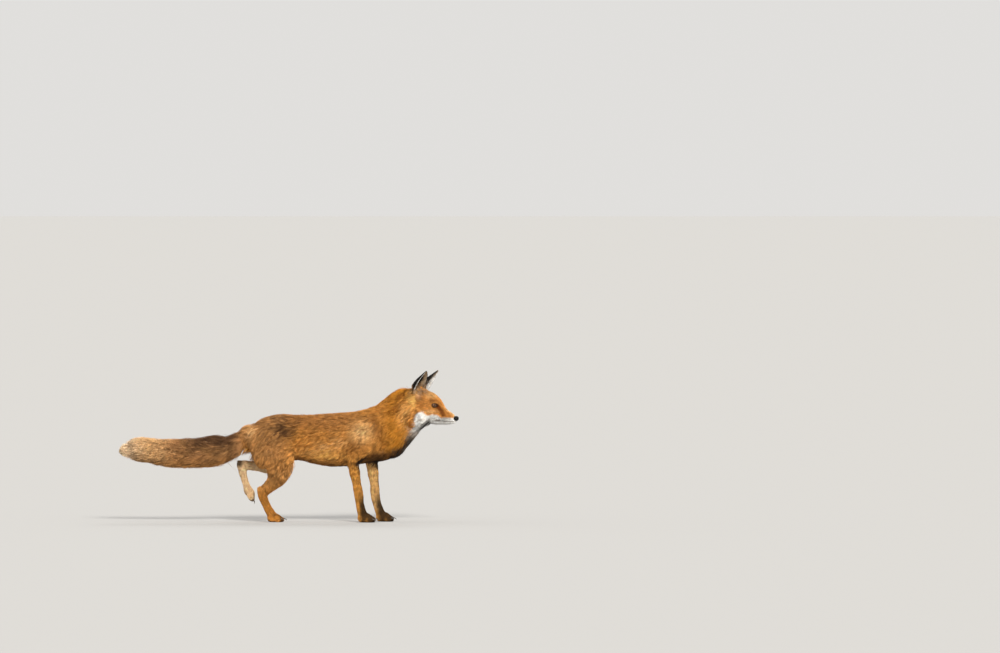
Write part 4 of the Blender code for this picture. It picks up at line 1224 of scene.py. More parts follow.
@dataclass
class Skin:
    """One closed skin for the whole animal, inside the solids by the coat's depth."""

    lie: Lie
    eyes: Sequence[EyePlace]
    voxel: float = 0.0019
    overlap: float = 0.0004
    ear_overlap: float = 0.0010
    ear_depth: float = 0.0014
    sinking_steps: int = 5
    triangles_wanted: int = 130000
    mouth_depth: float = 0.0010
    cleft_depth: float = 0.0024
    finest: float = 0.0009  # edges at eyes, mouth and toes are cut down to this
    under_coat: float = 0.8  # how bright the skin is, for the coat's 1

    def build(self) -> bpy.types.Object:
        """Fuses the flesh, sinks it by the coat's depth and models the face and the toes."""
        self.source = self._fused()
        points, faces = arrays_of(self.source.data)
        self.outside = BVHTree.FromPolygons(points.tolist(), faces.tolist())
        points = self._sunk(points, faces)
        self.source.data.vertices.foreach_set("co", points.astype(np.float32).ravel())
        self.source.data.update()
        self._thin_and_refine()
        self.points, self.faces = arrays_of(self.source.data)
        self._fit()
        self._model_face()
        self._model_toes()
        bpy.data.objects.remove(self.source, do_unlink=True)
        self.normals = normals_of(self.points, self.faces)
        self.tree = BVHTree.FromPolygons(self.points.tolist(), self.faces.tolist())
        skin = mesh_of("skin", self.points, self.faces)
        main, _ = MARKINGS_AND_PAINTED_LIGHT.paint(self.points, self.normals, self.ear_share(self.points))
        add_tint(skin, main * self.under_coat)
        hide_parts(*FLESH)
        return finish_piece(skin, SkinFinish().make())

    def _fused(self) -> bpy.types.Object:
        """All the flesh as one voxel mesh."""
        whole = bmesh.new()
        for name in (*FLESH, "eye_left", "eye_right"):
            part = solid_of(name)
            part.normal_update()
            grow = {"eye": 0.0, "ear": self.ear_overlap}.get(name[:3], self.overlap)
            moves = [vert.normal * grow * min(2.0, vert.calc_shell_factor()) for vert in part.verts]
            for vert, move in zip(part.verts, moves):
                vert.co += move
            copy = mesh_from(name, part)
            whole.from_mesh(copy)
            bpy.data.meshes.remove(copy)
        obj = placed("fused", mesh_from("fused", whole))
        remesh = obj.modifiers.new("fuse", "REMESH")
        remesh.mode = "VOXEL"
        remesh.voxel_size = self.voxel
        evaluated(obj)
        return obj

    def ear_share(self, points: np.ndarray) -> np.ndarray:
        """1 on the ears, 0 elsewhere."""
        head = HEAD.inside(points)
        share = np.zeros(len(points))
        for ear in EARS.values():
            height, across, forward = ear.split(points)
            near = ear.owns(points) & (head[:, 2] > 0.02) & (np.abs(across) < 0.032)
            near &= (forward < 0.008) & (forward > -0.030)
            off = np.where(np.abs(head[:, 1]) > 0.030, 0.0, 0.08)  # the crown rises between the ears
            share = np.where(near, np.maximum(share, ease(0.10, 0.24, height - off)), share)
        return share

    def _sunk(self, points: np.ndarray, faces: np.ndarray) -> np.ndarray:
        """Sinks the surface by the depth of the coat, in steps, and melts its facets."""
        ear = self.ear_share(points)
        depth = self._depth(points)
        melt = np.clip(depth / 0.008, 0.05, 1.0) * (1.0 - 0.9 * ear)
        points = relaxed(points, faces, 0.5 * melt, 8)
        for _ in range(self.sinking_steps):
            points = points - normals_of(points, faces) * (depth / self.sinking_steps)[:, None]
            points = relaxed(points, faces, 0.5 * melt, 3)
        return points

    def _depth(self, points: np.ndarray) -> np.ndarray:
        """How deep the skin lies under the tips of the coat."""
        _, sizes, _ = self.lie.at(points)
        ear = self.ear_share(points)
        depth = sizes[:, 1] * (1.0 - ear) + self.ear_depth * ear
        return depth * ease(0.0, 0.012, points[:, 2])  # the soles stay on the floor

    def _fit(self) -> None:
        """Brings the skin to its depth under the solids again, where melting moved it."""
        for _ in range(2):
            normals = normals_of(self.points, self.faces)
            found = np.array([self.outside.find_nearest(point)[3] for point in self.points.tolist()])
            depth = self._depth(self.points)
            error = np.clip(found - depth, -0.003, 0.003) * ease(0.0035, 0.0060, depth)
            for ear in EARS.values():
                error = error * ease(0.034, 0.050, np.linalg.norm(self.points - ear.foot, axis=1))
            self.points = self.points + normals * error[:, None]
            self.points = relaxed(self.points, self.faces, 0.5 * ease(0.0025, 0.0060, depth), 2)

    def _thin_and_refine(self) -> None:
        """Drops triangles where the skin is plain, and adds them at eyes, mouth and toes."""
        thin = self.source.modifiers.new("thin", "DECIMATE")
        thin.ratio = min(1.0, self.triangles_wanted / (2 * len(self.source.data.polygons)))
        evaluated(self.source)
        work = bmesh.new()
        work.from_mesh(self.source.data)
        bmesh.ops.triangulate(work, faces=work.faces)
        for _ in range(2):
            middles = np.array([face.calc_center_median() for face in work.faces])
            near = np.zeros(len(middles), bool)
            for eye in self.eyes:
                near |= np.linalg.norm(middles - eye.centre, axis=1) < 1.75 * eye.radius
            x, _, z = HEAD.inside(middles).T
            near |= (x > 0.062) & (np.abs(z - mouth_height(x)) < 0.004) & (z < -0.05)
            near |= pressed(middles) > 0.04
            edges = {edge for face, take in zip(work.faces, near) if take for edge in face.edges}
            edges = [edge for edge in edges if edge.calc_length() > self.finest]
            bmesh.ops.subdivide_edges(work, edges=edges, cuts=1)
            bmesh.ops.triangulate(work, faces=work.faces)
        work.to_mesh(self.source.data)
        work.free()

    def _model_face(self) -> None:
        """Opens the lids, and presses in the mouth's line and the folds of the muzzle."""
        for eye in self.eyes:
            distance, inner, up, out = eye.split(self.points)
            near = (distance < 2.1 * eye.radius) & (out > 0.05)
            opening = eye.openness(inner, up)
            inside = ease(-0.05, 0.03, opening)
            fade = ease(2.0, 1.25, distance / eye.radius) * ease(0.05, 0.35, out)
            lid = eye.radius * (1.0 + 0.13 * bell(opening, -0.10, 0.16) + 0.05)
            outer = np.maximum(distance, lid)
            shell = distance + (outer - distance) * fade * ease(-0.75, -0.15, opening)
            target = shell * (1.0 - inside) + 0.80 * eye.radius * inside
            crease = 0.0009 * bell(opening, -0.33, 0.06) * fade
            target = np.where(near, target - crease, distance)
            growth = target / np.maximum(distance, 1e-9)
            self.points = eye.centre + (self.points - eye.centre) * growth[:, None]
        x, _, z = HEAD.inside(self.points).T
        gap = np.abs(z - mouth_height(x))
        line = bell(gap, 0.0, 0.0012) * ease(0.066, 0.074, x) * ease(0.148, 0.140, x)
        lip = bell(gap, 0.0030, 0.0016) * ease(0.070, 0.080, x)
        move = 0.0004 * lip - self.mouth_depth * line
        self.points = self.points + normals_of(self.points, self.faces) * move[:, None]

    def _model_toes(self) -> None:
        """Presses in the clefts between the toes, and keeps the soles on the floor."""
        depth = self.cleft_depth * pressed(self.points)
        self.points = self.points - normals_of(self.points, self.faces) * depth[:, None]
        self.points[:, 2] = np.maximum(self.points[:, 2], CLEARANCE)

    def held(self, points: np.ndarray, over: np.ndarray) -> np.ndarray:
        """Points that are further outside the solids than they may be, brought back."""
        moves = np.zeros_like(points)
        for k, point in enumerate(points.tolist()):
            nearest, normal, _, _ = self.outside.find_nearest(point)
            moves[k] = normal
            moves[k] *= min(0.0, over[k] - (Vector(point) - nearest).dot(normal))
        return points + moves

    def surface(self, targets: np.ndarray) -> tuple[np.ndarray, np.ndarray]:
        """The nearest places of the skin to some points, and the smooth normals there."""
        places = np.empty_like(targets)
        numbers = np.empty(len(targets), int)
        for k, target in enumerate(targets.tolist()):
            places[k], _, numbers[k], _ = self.tree.find_nearest(target)
        return places, unit(self.normals[self.faces[numbers]].sum(axis=1))

    def beside(self, side: Side, x: float, z: float) -> tuple[np.ndarray | None, np.ndarray]:
        """The place of the muzzle's side at a point of the head's side view, and the way in there."""
        start = HEAD.outside(np.array([x, side.value * 0.06, z]))
        ray = HEAD.turned(np.array([0.0, -side.value, 0.0]))
        place, _, _, _ = self.tree.ray_cast(start.tolist(), ray.tolist())
        return None if place is None else np.array(place), ray


# The coat --------------------------------------------------------------------------------------


@dataclass
class Roots:
    """Where the tufts of one coat piece grow."""

    points: np.ndarray
    normals: np.ndarray
    flow: np.ndarray
    sizes: np.ndarray  # length, depth, spacing, width
    ears: np.ndarray  # 1 on an ear, 0 elsewhere
    map_places: np.ndarray

    def some(self, rows: np.ndarray) -> "Roots":
        """Some of the roots, by their numbers or by a mask."""
        return Roots(*(getattr(self, part.name)[rows] for part in fields(self)))


@dataclass
class Coat:
    """Solid tufts all over the skin, in a piece for each region."""

    skin: Skin
    lie: Lie
    share: float = 1.0  # of the full number of tufts
    most_triangles: int = 190000
    patch: float = 0.003  # a tuft's patch on the map
    long_tuft: float = 0.020  # from here on a tuft has one ring more
    lock: int = 14  # tufts in a lock
    ear_spacing: float = 0.00124
    ear_depth: float = 0.0011
    ear_width: float = 0.0009
    uneven_tufts: float = 0.10  # how much the tufts' brightness varies
    uneven_locks: float = 0.15
    uneven_warmth: float = 0.05

    def build(self) -> list[bpy.types.Object]:
        """Grows every region's tufts."""
        self.random = np.random.default_rng(SEED)
        material = CoatFinish().make()
        middles = self.skin.points[self.skin.faces].mean(axis=1)
        _, sizes, nearest = self.lie.at(middles)
        region_of = np.array([list(Region).index(region) for region in self.lie.regions])[nearest]
        ear = self.skin.ear_share(middles) > 0.5
        region_of[ear] = list(Region).index(Region.EAR)
        pieces = []
        for number, region in enumerate(Region):
            chosen = np.flatnonzero(region_of == number)
            if len(chosen):
                pieces += self._region(region, chosen, sizes[chosen], material)
        return pieces

    def _region(
        self, region: Region, chosen: np.ndarray, sizes: np.ndarray, material: bpy.types.Material
    ) -> list[bpy.types.Object]:
        """Grows one region's tufts, in as many pieces as their triangles need.

        Args:
            region: The region.
            chosen: The numbers of its triangles of skin.
            sizes: The hair's length, depth, spacing and width on each of them.
            material: The coat's.

        Returns:
            The region's pieces.
        """
        roots = self._roots(region, chosen, sizes)
        rings = 2 if np.median(roots.sizes[:, 0]) > self.long_tuft else 1
        parts = max(1, math.ceil(len(roots.points) * len(self._pattern(rings)) / self.most_triangles))
        order = np.argsort(roots.points[:, 1 if region in (Region.HEAD, Region.EAR) else 0])
        pieces = []
        for k, rows in enumerate(np.array_split(order, parts)):
            piece = self._tufts(f"coat_{region.value}_{k + 1}", roots.some(rows), rings)
            pieces.append(finish_piece(piece, material))
        return pieces

    def _roots(self, region: Region, chosen: np.ndarray, sizes: np.ndarray) -> Roots:
        """Scatters roots over some of the skin's triangles, as densely as the places say.

        Args:
            region: The region that the triangles are in.
            chosen: The triangles' numbers.
            sizes: The hair's length, depth, spacing and width on each of them.

        Returns:
            The roots that are on hairy skin.
        """
        faces = self.skin.faces[chosen]
        corners = self.skin.points[faces]
        sides = corners[:, 1] - corners[:, 0], corners[:, 2] - corners[:, 0]
        area = np.linalg.norm(np.cross(*sides), axis=1) / 2
        spacing = np.full(len(chosen), self.ear_spacing) if region is Region.EAR else sizes[:, 2]
        wanted = area / spacing**2 * self.share
        sums = np.concatenate([[0.0], np.cumsum(wanted)])
        count = int(sums[-1])
        draws = (np.arange(count) + self.random.random(count)) * sums[-1] / max(count, 1)
        pick = np.clip(np.searchsorted(sums, draws, side="right") - 1, 0, len(chosen) - 1)
        first, second = self.random.random((2, count))
        swap = first + second > 1
        first[swap], second[swap] = 1 - first[swap], 1 - second[swap]
        shares = np.stack([1 - first - second, first, second], axis=1)
        points = (corners[pick] * shares[:, :, None]).sum(axis=1)
        normals = unit((self.skin.normals[faces[pick]] * shares[:, :, None]).sum(axis=1))
        places = (self._unwrapped(faces)[pick] * shares[:, :, None]).sum(axis=1)
        flow, own, _ = self.lie.at(points)
        roots = Roots(points, normals, flow, own, self.skin.ear_share(points), places)
        return roots.some(self._allowed(roots))

    def _allowed(self, roots: Roots) -> np.ndarray:
        """Leaves out eyes, nose and soles."""
        keep = roots.points[:, 2] > 0.0015
        for eye in self.skin.eyes:
            distance, inner, up, out = eye.split(roots.points)
            keep &= ~((distance < 1.6 * eye.radius) & (out > 0) & (eye.openness(inner, up) > -0.13))
        middle, half = box_of("nose")
        keep &= np.linalg.norm((roots.points - middle) / (half * 1.08), axis=1) > 1.0
        return keep

    def _unwrapped(self, faces: np.ndarray) -> np.ndarray:
        """Unfolds some of the skin's triangles onto a square: two numbers for each corner."""
        used, local = np.unique(faces, return_inverse=True)
        temp = mesh_of("unfolding", self.skin.points[used], local.reshape(-1, 3))
        temp.data.uv_layers.new(name="flat")
        bpy.ops.object.select_all(action="DESELECT")
        temp.select_set(True)
        bpy.context.view_layer.objects.active = temp
        bpy.ops.object.mode_set(mode="EDIT")
        bpy.ops.mesh.select_all(action="SELECT")
        bpy.ops.uv.smart_project(angle_limit=math.radians(66), island_margin=0.004)
        bpy.ops.object.mode_set(mode="OBJECT")
        flat = np.empty(len(faces) * 6, np.float32)
        temp.data.uv_layers.active.data.foreach_get("uv", flat)
        bpy.data.objects.remove(temp, do_unlink=True)
        return flat.reshape(-1, 3, 2)

    def _directed(self, roots: Roots) -> tuple[np.ndarray, np.ndarray]:
        """The way each tuft points, and how far it stands out instead of lying on the skin."""
        flow = roots.flow.copy()
        for ear in EARS.values():
            on_ear = (roots.ears > 0.3) & ear.owns(roots.points)
            _, across, _ = ear.split(roots.points)
            inside = roots.normals @ ear.opening > 0.1
            lean = np.where(inside, -0.9 * np.clip(across / 0.02, -1, 1), 0.0)
            flow[on_ear] = (ear.along + lean[:, None] * ear.outwards)[on_ear]
        outwards = (unit(flow) * roots.normals).sum(axis=1)
        stand = ease(0.65, 0.92, outwards) * ease(0.014, 0.022, roots.sizes[:, 0]) * (1.0 - roots.ears)
        raw = unit(flow)
        flow = unit(flow - roots.normals * (flow * roots.normals).sum(axis=1, keepdims=True))
        flow = unit(blend(flow, raw, stand))
        across = unit(np.cross(roots.normals, flow + 1e-6))
        size = np.clip(roots.sizes[:, 0] / 0.045, 0.15, 1.2)
        lean = 0.26 * ripple(roots.points, 0.030, 5.0) + 0.16 * ripple(roots.points, 0.011, 9.0)
        lean = lean * size + self.random.normal(0.0, 0.10, len(flow))
        return unit(flow + across * lean[:, None]), stand

    def _tufts(self, name: str, roots: Roots, rings: int) -> bpy.types.Object:
        """Makes the mesh of one piece.

        Args:
            name: The piece's name.
            roots: Where its tufts grow.
            rings: Three-cornered rings in each tuft, between its root and its point.

        Returns:
            The object, with its tint and its map.
        """
        count = len(roots.points)
        flow, stand = self._directed(roots)
        ear = roots.ears
        length, depth, width = self._measures(roots)
        length = length * self.random.uniform(0.72, 1.12, count)
        height = depth * self.random.uniform(0.70, 1.15, count)
        stray = self.random.random(count) < 0.04
        height[stray] *= 1.25
        width = width * self.random.uniform(0.75, 1.25, count)
        leader, together = self._locks(roots)
        over = np.where(ear > 0.5, 0.0012, 0.0004 + 0.16 * depth * self.random.random(count) ** 2)

        ends = roots.points + flow * length[:, None]
        met, facing = self.skin.surface(ends)
        off = np.linalg.norm(ends - met, axis=1) / length
        turned = ease(0.1, -0.5, (facing * roots.normals).sum(axis=1)) * (1.0 - ear)
        cut = np.maximum(0.55 * ease(0.35, 0.75, off), 0.70 * turned)
        length = length * (1.0 - cut * (1.0 - stand))

        centres, ups = [roots.points - roots.normals * 0.0008], [roots.normals]
        for share in {1: (0.36, 1.0), 2: (0.27, 0.64, 1.0)}[rings]:
            target = roots.points + flow * (length * share)[:, None]
            shared = roots.points[leader] + flow[leader] * (length * share)[:, None]
            target = blend(target, shared, together * share**1.3)
            place, normal = self.skin.surface(target)
            rise = height * math.sin(0.5 * math.pi * share**0.8) * (1.0 - stand)
            reach = np.maximum(length * share, 1e-6)
            loose = ease(0.45, 0.9, np.linalg.norm(target - place, axis=1) / reach)
            loose = np.maximum(loose, ease(0.35, -0.1, (normal * roots.normals).sum(axis=1)))
            loose = np.maximum(loose, stand)
            centre = blend(place + normal * rise[:, None], target + roots.normals * rise[:, None], loose)
            centres.append(self.skin.held(centre, over))
            ups.append(unit(blend(normal, roots.normals, loose)))
        swell = {1: (1.0,), 2: (1.0, 0.8)}[rings]
        stack = np.empty((count, 3 * rings + 2, 3))
        stack[:, 0] = centres[0]
        for k in range(rings):
            along = unit(centres[k + 2] - centres[k])
            side = unit(np.cross(along, ups[k + 1]))
            half = (width * swell[k] / 2)[:, None]
            stack[:, 3 * k + 1] = centres[k + 1] - side * half
            stack[:, 3 * k + 2] = centres[k + 1] + ups[k + 1] * half * 0.8
            stack[:, 3 * k + 3] = centres[k + 1] + side * half
        stack[:, -1] = centres[-1]
        stack[..., 2] = np.maximum(stack[..., 2], CLEARANCE)
        shown = 0.5 * (centres[1] + centres[-1])

        pattern = self._pattern(rings)
        faces = (pattern[None] + (np.arange(count) * (3 * rings + 2))[:, None, None]).reshape(-1, 3)
        piece = mesh_of(name, stack.reshape(-1, 3), faces)
        add_tint(piece, self._tints(roots, shown, leader, rings).reshape(-1, 3))
        self._add_map(piece, roots, rings, pattern)
        return piece

    def _measures(self, roots: Roots) -> tuple[np.ndarray, np.ndarray, np.ndarray]:
        """The tufts' lengths, depths and widths; an ear's are short, and longer along its rim."""
        ear = roots.ears
        length, depth, width = roots.sizes[:, 0], roots.sizes[:, 1], roots.sizes[:, 3]
        own = np.full(len(ear), 0.0070)
        for shape in EARS.values():
            height, across, _ = shape.split(roots.points)
            inside = ease(0.0, 0.3, roots.normals @ shape.opening)
            rim = ease(0.008, 0.018, np.abs(across)) * ease(0.75, 0.45, height) * inside
            fitted = (0.0065 + 0.0065 * rim) * (1.0 - 0.55 * ease(0.75, 1.0, height))
            own = np.where(shape.owns(roots.points), fitted, own)
        length = length * (1 - ear) + own * ear
        depth = depth * (1 - ear) + self.ear_depth * ear
        width = width * (1 - ear) + self.ear_width * ear
        return length, depth, width

    def _locks(self, roots: Roots) -> tuple[np.ndarray, np.ndarray]:
        """Which tuft each tuft leans to, and how much: neighbours end together in locks."""
        count = len(roots.points)
        leaders = self.random.choice(count, max(1, count // self.lock), replace=False)
        tree = KDTree(len(leaders))
        for number, point in enumerate(roots.points[leaders].tolist()):
            tree.insert(point, number)
        tree.balance()
        nearest = [tree.find(point)[1] for point in roots.points.tolist()]
        together = 0.75 * ease(0.006, 0.036, roots.sizes[:, 0]) * (1 - roots.ears)
        return leaders[nearest], together * self.random.uniform(0.6, 1.2, count)

    @staticmethod
    def _pattern(rings: int) -> np.ndarray:
        """The triangles of one tuft."""
        faces = []
        tip = 3 * rings + 1
        for side in range(3):
            after = (side + 1) % 3
            faces.append((1 + side, 0, 1 + after))
            for k in range(rings - 1):
                here, beside = 3 * k + 1 + side, 3 * k + 1 + after
                faces += [(here, beside, here + 3), (beside, beside + 3, here + 3)]
            faces.append((tip - 3 + side, tip - 3 + after, tip))
        return np.array(faces)

    def _tints(self, roots: Roots, shown: np.ndarray, leader: np.ndarray, rings: int) -> np.ndarray:
        """The colours of the tufts' vertices.

        Args:
            roots: Where the tufts grow.
            shown: The middle of the stretch of each tuft that is seen.
            leader: The tuft that each tuft leans to.
            rings: Rings in each tuft.

        Returns:
            A colour for each vertex: darker at the root, the hair's own end at the point.
        """
        main, end = MARKINGS_AND_PAINTED_LIGHT.paint(shown, roots.normals, roots.ears)
        bright = self.random.normal(1.0, self.uneven_tufts, len(main))
        together = self.random.normal(1.0, self.uneven_locks, len(main))[leader]
        bright = (bright * together).clip(0.6, 1.45)[:, None]
        warm = self.random.normal(0.0, self.uneven_warmth, len(main))[:, None]
        main = main * bright * (1.0 + warm * np.array([0.4, -0.2, -1.0]))
        end = end * bright
        pale = ease(0.25, 0.70, main.mean(axis=1))[:, None]
        base = main * (0.50 + 0.38 * pale)
        colours = np.empty((len(main), 3 * rings + 2, 3))
        colours[:, 0] = base
        shares = {1: (0.75,), 2: (0.55, 1.0)}[rings]
        for k, share in enumerate(shares):
            ring = base + (main - base) * share
            if k == 1:
                ring = 0.6 * ring + 0.4 * end
            colours[:, 3 * k + 1 : 3 * k + 4] = ring[:, None]
        colours[:, -1] = end
        return colours.clip(0.001, 0.95)

    def _add_map(self, piece: bpy.types.Object, roots: Roots, rings: int, pattern: np.ndarray) -> None:
        """Lays each tuft on its own patch, where its root is on the unfolded skin.

        Args:
            piece: The tufts' mesh.
            roots: Their roots.
            rings: The rings in each tuft.
            pattern: The triangles of one tuft.
        """
        local = np.empty((3 * rings + 2, 2))
        local[0] = (0.0, -0.5)
        for k in range(rings):
            for side in range(3):
                local[3 * k + 1 + side] = (side / 2 - 0.5, (k + 1) / (rings + 1) - 0.5)
        local[-1] = (0.0, 0.5)
        corner = local[pattern] * self.patch
        place = roots.map_places * (1 - self.patch) + self.patch / 2
        flat = corner[None] + place[:, None, None, :]
        layer = piece.data.uv_layers.new(name="OFBake")
        layer.data.foreach_set("uv", flat.astype(np.float32).ravel())


# Eyes, nose, lips, claws and whiskers ----------------------------------------------------------


def tube(path: np.ndarray, radii: np.ndarray, sides: int, closed: bool = False) -> Shape:
    """A round tube along a path, with pointed or flat ends, or a ring.

    Args:
        path: The tube's middle line, one point a row.
        radii: Its radius at each point.
        sides: Corners of its section.
        closed: Whether the last point joins the first.

    Returns:
        Points and triangles.
    """
    count = len(path)
    ahead = np.roll(path, -1, axis=0) - np.roll(path, 1, axis=0)
    if not closed:
        ahead[0], ahead[-1] = path[1] - path[0], path[-1] - path[-2]
    ahead = unit(ahead)
    guide = np.where(np.abs(ahead[:, 2:3]) < 0.9, [[0.0, 0.0, 1.0]], [[0.0, 1.0, 0.0]])
    side = unit(np.cross(ahead, guide))
    up = np.cross(side, ahead)
    angles = np.arange(sides) * 2 * math.pi / sides
    ring = side[:, None] * np.cos(angles)[:, None] + up[:, None] * np.sin(angles)[:, None]
    points = (path[:, None] + ring * radii[:, None, None]).reshape(-1, 3)
    faces = []
    for row, corner in product(range(count if closed else count - 1), range(sides)):
        here, beside = row * sides + corner, row * sides + (corner + 1) % sides
        ahead_of_here, ahead_of_beside = (here + sides) % len(points), (beside + sides) % len(points)
        faces += [(here, beside, ahead_of_here), (beside, ahead_of_beside, ahead_of_here)]
    if not closed:
        last = (count - 1) * sides
        for corner in range(1, sides - 1):
            faces += [(0, corner + 1, corner), (last, last + corner, last + corner + 1)]
    return points, np.array(faces)


def joined(parts: Iterable[Shape]) -> Shape:
    """Puts several meshes' arrays together."""
    points, faces, start = [], [], 0
    for some, those in parts:
        points.append(some)
        faces.append(those + start)
        start += len(some)
    return np.concatenate(points), np.concatenate(faces)


@dataclass
class Eye:
    """An eyeball and the bare black rim of its lids."""

    place: EyePlace
    rim_radius: float = 0.00062
    bulge: float = 0.05

    def build(self) -> list[bpy.types.Object]:
        """Makes the ball and the rim."""
        return [self._ball(), self._rim()]

    def _ball(self) -> bpy.types.Object:
        """The eyeball, its cornea bulging along its own z."""
        place = self.place
        work = bmesh.new()
        bmesh.ops.create_uvsphere(work, u_segments=64, v_segments=48, radius=place.radius)
        for vert in work.verts:
            front = max(0.0, vert.co.z / place.radius - 0.62) / 0.38
            vert.co *= 1.0 + self.bulge * front * front * (3 - 2 * front)
        name = f"eyeball_{place.side.word}"
        ball = placed(name, mesh_from(name, work))
        ball.data.shade_smooth()
        up = np.array([0.0, 0.0, 1.0])
        up = unit(up - place.out * (up @ place.out))
        turn = Matrix(np.stack([np.cross(up, place.out), up, place.out], axis=1).tolist())
        ball.matrix_world = Matrix.Translation(place.centre) @ turn.to_4x4()
        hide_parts(f"eye_{place.side.word}")
        return finish_piece(ball, EyeFinish(place.radius).make())

    def _rim(self) -> bpy.types.Object:
        """A dark ring along the edge of the lids."""
        place = self.place
        angles = np.linspace(0.0, 2 * math.pi, 72, endpoint=False)
        inner = place.half_width * np.cos(angles)
        share = np.clip(np.abs(inner) / place.half_width, 0, 1)
        up = np.sign(np.sin(angles)) * place.lid(inner, np.sin(angles))
        out = np.sqrt(np.maximum(0.0, 1 - inner**2 - up**2))
        rays = inner[:, None] * place.inner + up[:, None] * place.up + out[:, None] * place.out
        path = place.centre + unit(rays) * place.radius * 1.035
        radii = np.full(len(path), self.rim_radius) * (1 + 0.5 * share**6)
        points, faces = tube(path, radii, 8, closed=True)
        rim = mesh_of(f"eye_rim_{place.side.word}", points, faces)
        return finish_piece(rim, LipFinish("eye_rim").make())


@dataclass
class Nose:
    """The nose pad, with its comma-shaped nostrils and the groove between them."""

    half: Triple = (0.0088, 0.0101, 0.0079)
    pit: float = 0.3778  # the nostrils' depth, for the pad's radius of 1

    def build(self) -> bpy.types.Object:
        """Shapes a fine ball into the pad."""
        work = bmesh.new()
        bmesh.ops.create_icosphere(work, subdivisions=6, radius=1.0)
        mesh = mesh_from("nose_ball", work)
        ball, faces = arrays_of(mesh)
        bpy.data.meshes.remove(mesh)
        x, y, z = ball.T
        out = np.abs(y)
        front = ease(0.1, 0.8, x)
        scale = 1.0 - 0.10 * front * ease(0.35, 0.0, out) * ease(0.4, -0.2, z)
        scale -= 0.13 * bell(y, 0.0, 0.07) * ease(0.45, -0.2, z) * front
        scale += 0.05 * spot(out, z, (0.62, 0.15), (0.22, 0.35)) * front
        hole = spot(out, z, (0.42, 0.02), (0.15, 0.17)) * ease(0.45, 0.8, x)
        slit = bell(z - 0.10 * (out - 0.5), -0.10, 0.075)
        slit *= ease(0.38, 0.52, out) * ease(0.98, 0.85, out) * ease(0.0, 0.3, x)
        scale -= self.pit * np.clip(hole + 0.62 * slit, 0.0, 1.0)
        shape = ball * scale[:, None] * np.array(self.half)
        shape[:, 2] -= 0.0008 * ease(0.2, 1.0, z) * ease(0.3, -0.5, x)
        pad = mesh_of("nose_pad", HEAD.turned(shape) + box_of("nose")[0], faces)
        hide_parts("nose")
        return finish_piece(pad, NoseFinish().make())


@dataclass
class Lips:
    """The bare black edge of the lips, from under the nose to the corners of the mouth."""

    skin: Skin
    radius: float = 0.0005

    def build(self) -> bpy.types.Object:
        """Finds the mouth's line on the skin and lays a thin round edge of bare skin in it."""
        parts = []
        for side in Side:
            path = []
            for x in np.linspace(0.0715, 0.1405, 36):
                place, ray = self.skin.beside(side, x, mouth_height(x))
                if place is not None:
                    path.append(place - ray * 0.0002)
            along = np.linspace(0.0, 1.0, len(path))
            radii = self.radius * (0.45 + 0.55 * np.sin(math.pi * (0.08 + 0.84 * along)))
            parts.append(tube(np.array(path), radii, 8))
        points, faces = joined(parts)
        lips = mesh_of("lips", points, faces)
        return finish_piece(lips, LipFinish("lips").make())


@dataclass
class Claws:
    """The claws, rounded from the frame's."""

    def build(self) -> list[bpy.types.Object]:
        """Copies and rounds every claw."""
        material = HornFinish().make()
        pieces = []
        for name in sorted(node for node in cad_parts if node.startswith("claw")):
            claw = placed(f"horn_{name}", mesh_from(f"horn_{name}", solid_of(name)))
            round_off = claw.modifiers.new("round", "SUBSURF")
            round_off.levels = round_off.render_levels = 2
            evaluated(claw)
            claw.data.shade_smooth()
            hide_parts(name)
            pieces.append(finish_piece(claw, material))
        return pieces


@dataclass
class Whiskers:
    """Fine dark whiskers on the upper lip and over the eyes."""

    skin: Skin
    thick: float = 0.00022
    rows: int = 4
    columns: int = 5
    over_eye: int = 3

    def build(self) -> bpy.types.Object:
        """Grows them in rows on both sides."""
        random = np.random.default_rng(SEED + 1)
        parts = []
        for side in Side:
            for row, column in product(range(self.rows), range(self.columns)):
                x = 0.098 + 0.0072 * column + random.uniform(-0.001, 0.001)
                z = -0.0460 - 0.0036 * row - 0.0005 * column
                reach = (0.050 - 0.0055 * column) * random.uniform(0.85, 1.1)
                parts.append(self._whisker(side, x, z, reach, random))
            for k in range(self.over_eye):
                parts.append(self._whisker(side, 0.078 + 0.003 * k, 0.004, 0.026, random))
        points, faces = joined(parts)
        whiskers = mesh_of("whiskers", points, faces)
        return finish_piece(whiskers, LipFinish("whisker", (0.015, 0.012, 0.010), 0.35).make())

    def _whisker(self, side: Side, x: float, z: float, reach: float, random: np.random.Generator) -> Shape:
        """One whisker: out, back and a little down.

        Args:
            side: The side it is on.
            x: Its root, forwards along the head.
            z: Its root, upwards.
            reach: Its length.
            random: Where its unevenness is drawn from.

        Returns:
            Its points and faces.
        """
        place, ray = self.skin.beside(side, x, z)
        root = place + ray * 0.001
        out = np.array([-0.55 + random.normal(0, 0.08), side.value * 0.72, random.normal(0.02, 0.10)])
        out = HEAD.turned(unit(out))
        droop = HEAD.turned(np.array([-0.175, 0.0, -0.14]))
        steps = np.linspace(0.0, 1.0, 8)[:, None]
        path = root + (out * steps + droop * steps**2) * reach
        return tube(path, self.thick * (1.0 - 0.85 * steps[:, 0]), 4)


# The studio ------------------------------------------------------------------------------------


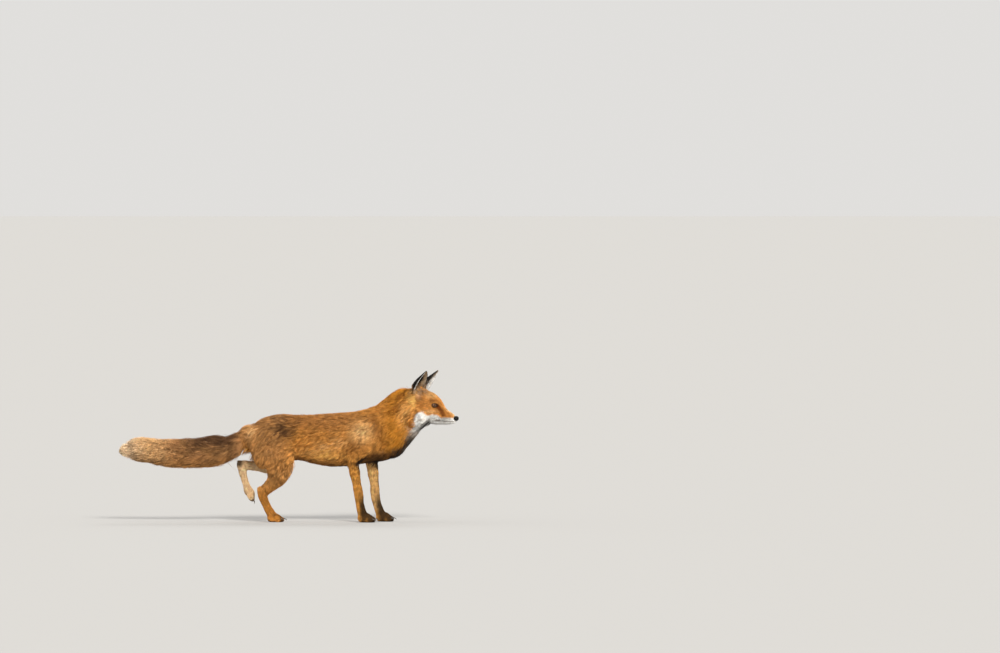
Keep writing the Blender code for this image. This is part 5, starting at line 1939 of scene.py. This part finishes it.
@dataclass
class Studio:
    """A pale floor, soft light, and a camera a long way off, as with a long lens."""

    distance: float = 32.0
    frame_width: float = 3.1  # what the picture takes in across, at the fox
    aim: Triple = (0.6534, 0.004, 0.6061)
    height: float = 1.10  # of the camera
    sensor: float = 36.0
    floor_size: float = 400.0

    def build(self) -> None:
        """Sets everything up."""
        self._floor()
        self._light()
        self._camera()

    def _floor(self) -> None:
        """The floor, just under the soles."""
        half = self.floor_size / 2
        corners = np.array([(-half, -half, 0.0), (half, -half, 0.0), (half, half, 0.0), (-half, half, 0.0)])
        floor = mesh_of("floor", corners, np.array([[0, 1, 2, 3]]), False)
        floor.data.materials.append(FloorFinish().make())

    def _light(self) -> None:
        """A bright even room with one broad soft key."""
        scene = bpy.context.scene
        world = bpy.data.worlds.new("studio")
        world.use_nodes = True
        back = world.node_tree.nodes["Background"]
        back.inputs["Color"].default_value = (1.0, 0.985, 0.96, 1.0)
        back.inputs["Strength"].default_value = 0.75
        scene.world = world
        scene.view_settings.view_transform = "Standard"
        for name, energy, spread, way in (
            ("key", 3.7, 16.0, (0.20, -0.90, 0.52)),
            ("fill", 0.5, 60.0, (-0.80, 0.30, 0.45)),
            ("rim", 0.9, 30.0, (0.25, 0.9, 0.8)),
        ):
            light = bpy.data.lights.new(name, "SUN")
            light.energy = energy
            light.angle = math.radians(spread)
            light.color = (1.0, 0.965, 0.91) if name == "key" else (1.0, 1.0, 1.0)
            placed(name, light).rotation_euler = Vector(way).to_track_quat("Z", "Y").to_euler()

    def _camera(self) -> None:
        """The camera stands off the fox's right side, a little above its back."""
        data = bpy.data.cameras.new("camera")
        camera = placed("camera", data)
        camera.location = (self.aim[0], self.aim[1] - self.distance, self.height)
        look = Vector(self.aim) - camera.location
        camera.rotation_euler = look.to_track_quat("-Z", "Y").to_euler()
        data.sensor_width = self.sensor
        data.lens = self.sensor * look.length / self.frame_width
        data.clip_start, data.clip_end = 0.5, 1000.0
        bpy.context.scene.camera = camera


def main() -> None:
    """Builds the pieces in order."""
    logging.basicConfig(level=logging.INFO, format="%(name)s %(relativeCreated)6.0f ms  %(message)s")
    lie = Lie.of([*head_places(), *body_places(), *leg_places(), *tail_places()])
    eyes = [EyePlace(side) for side in Side]
    Studio().build()
    skin = Skin(lie, eyes)
    skin.build()
    for eye in eyes:
        Eye(eye).build()
    Nose().build()
    Lips(skin).build()
    Claws().build()
    Whiskers(skin).build()
    Coat(skin, lie, 1.0).build()
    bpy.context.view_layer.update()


if __name__ == "__main__":
    main()
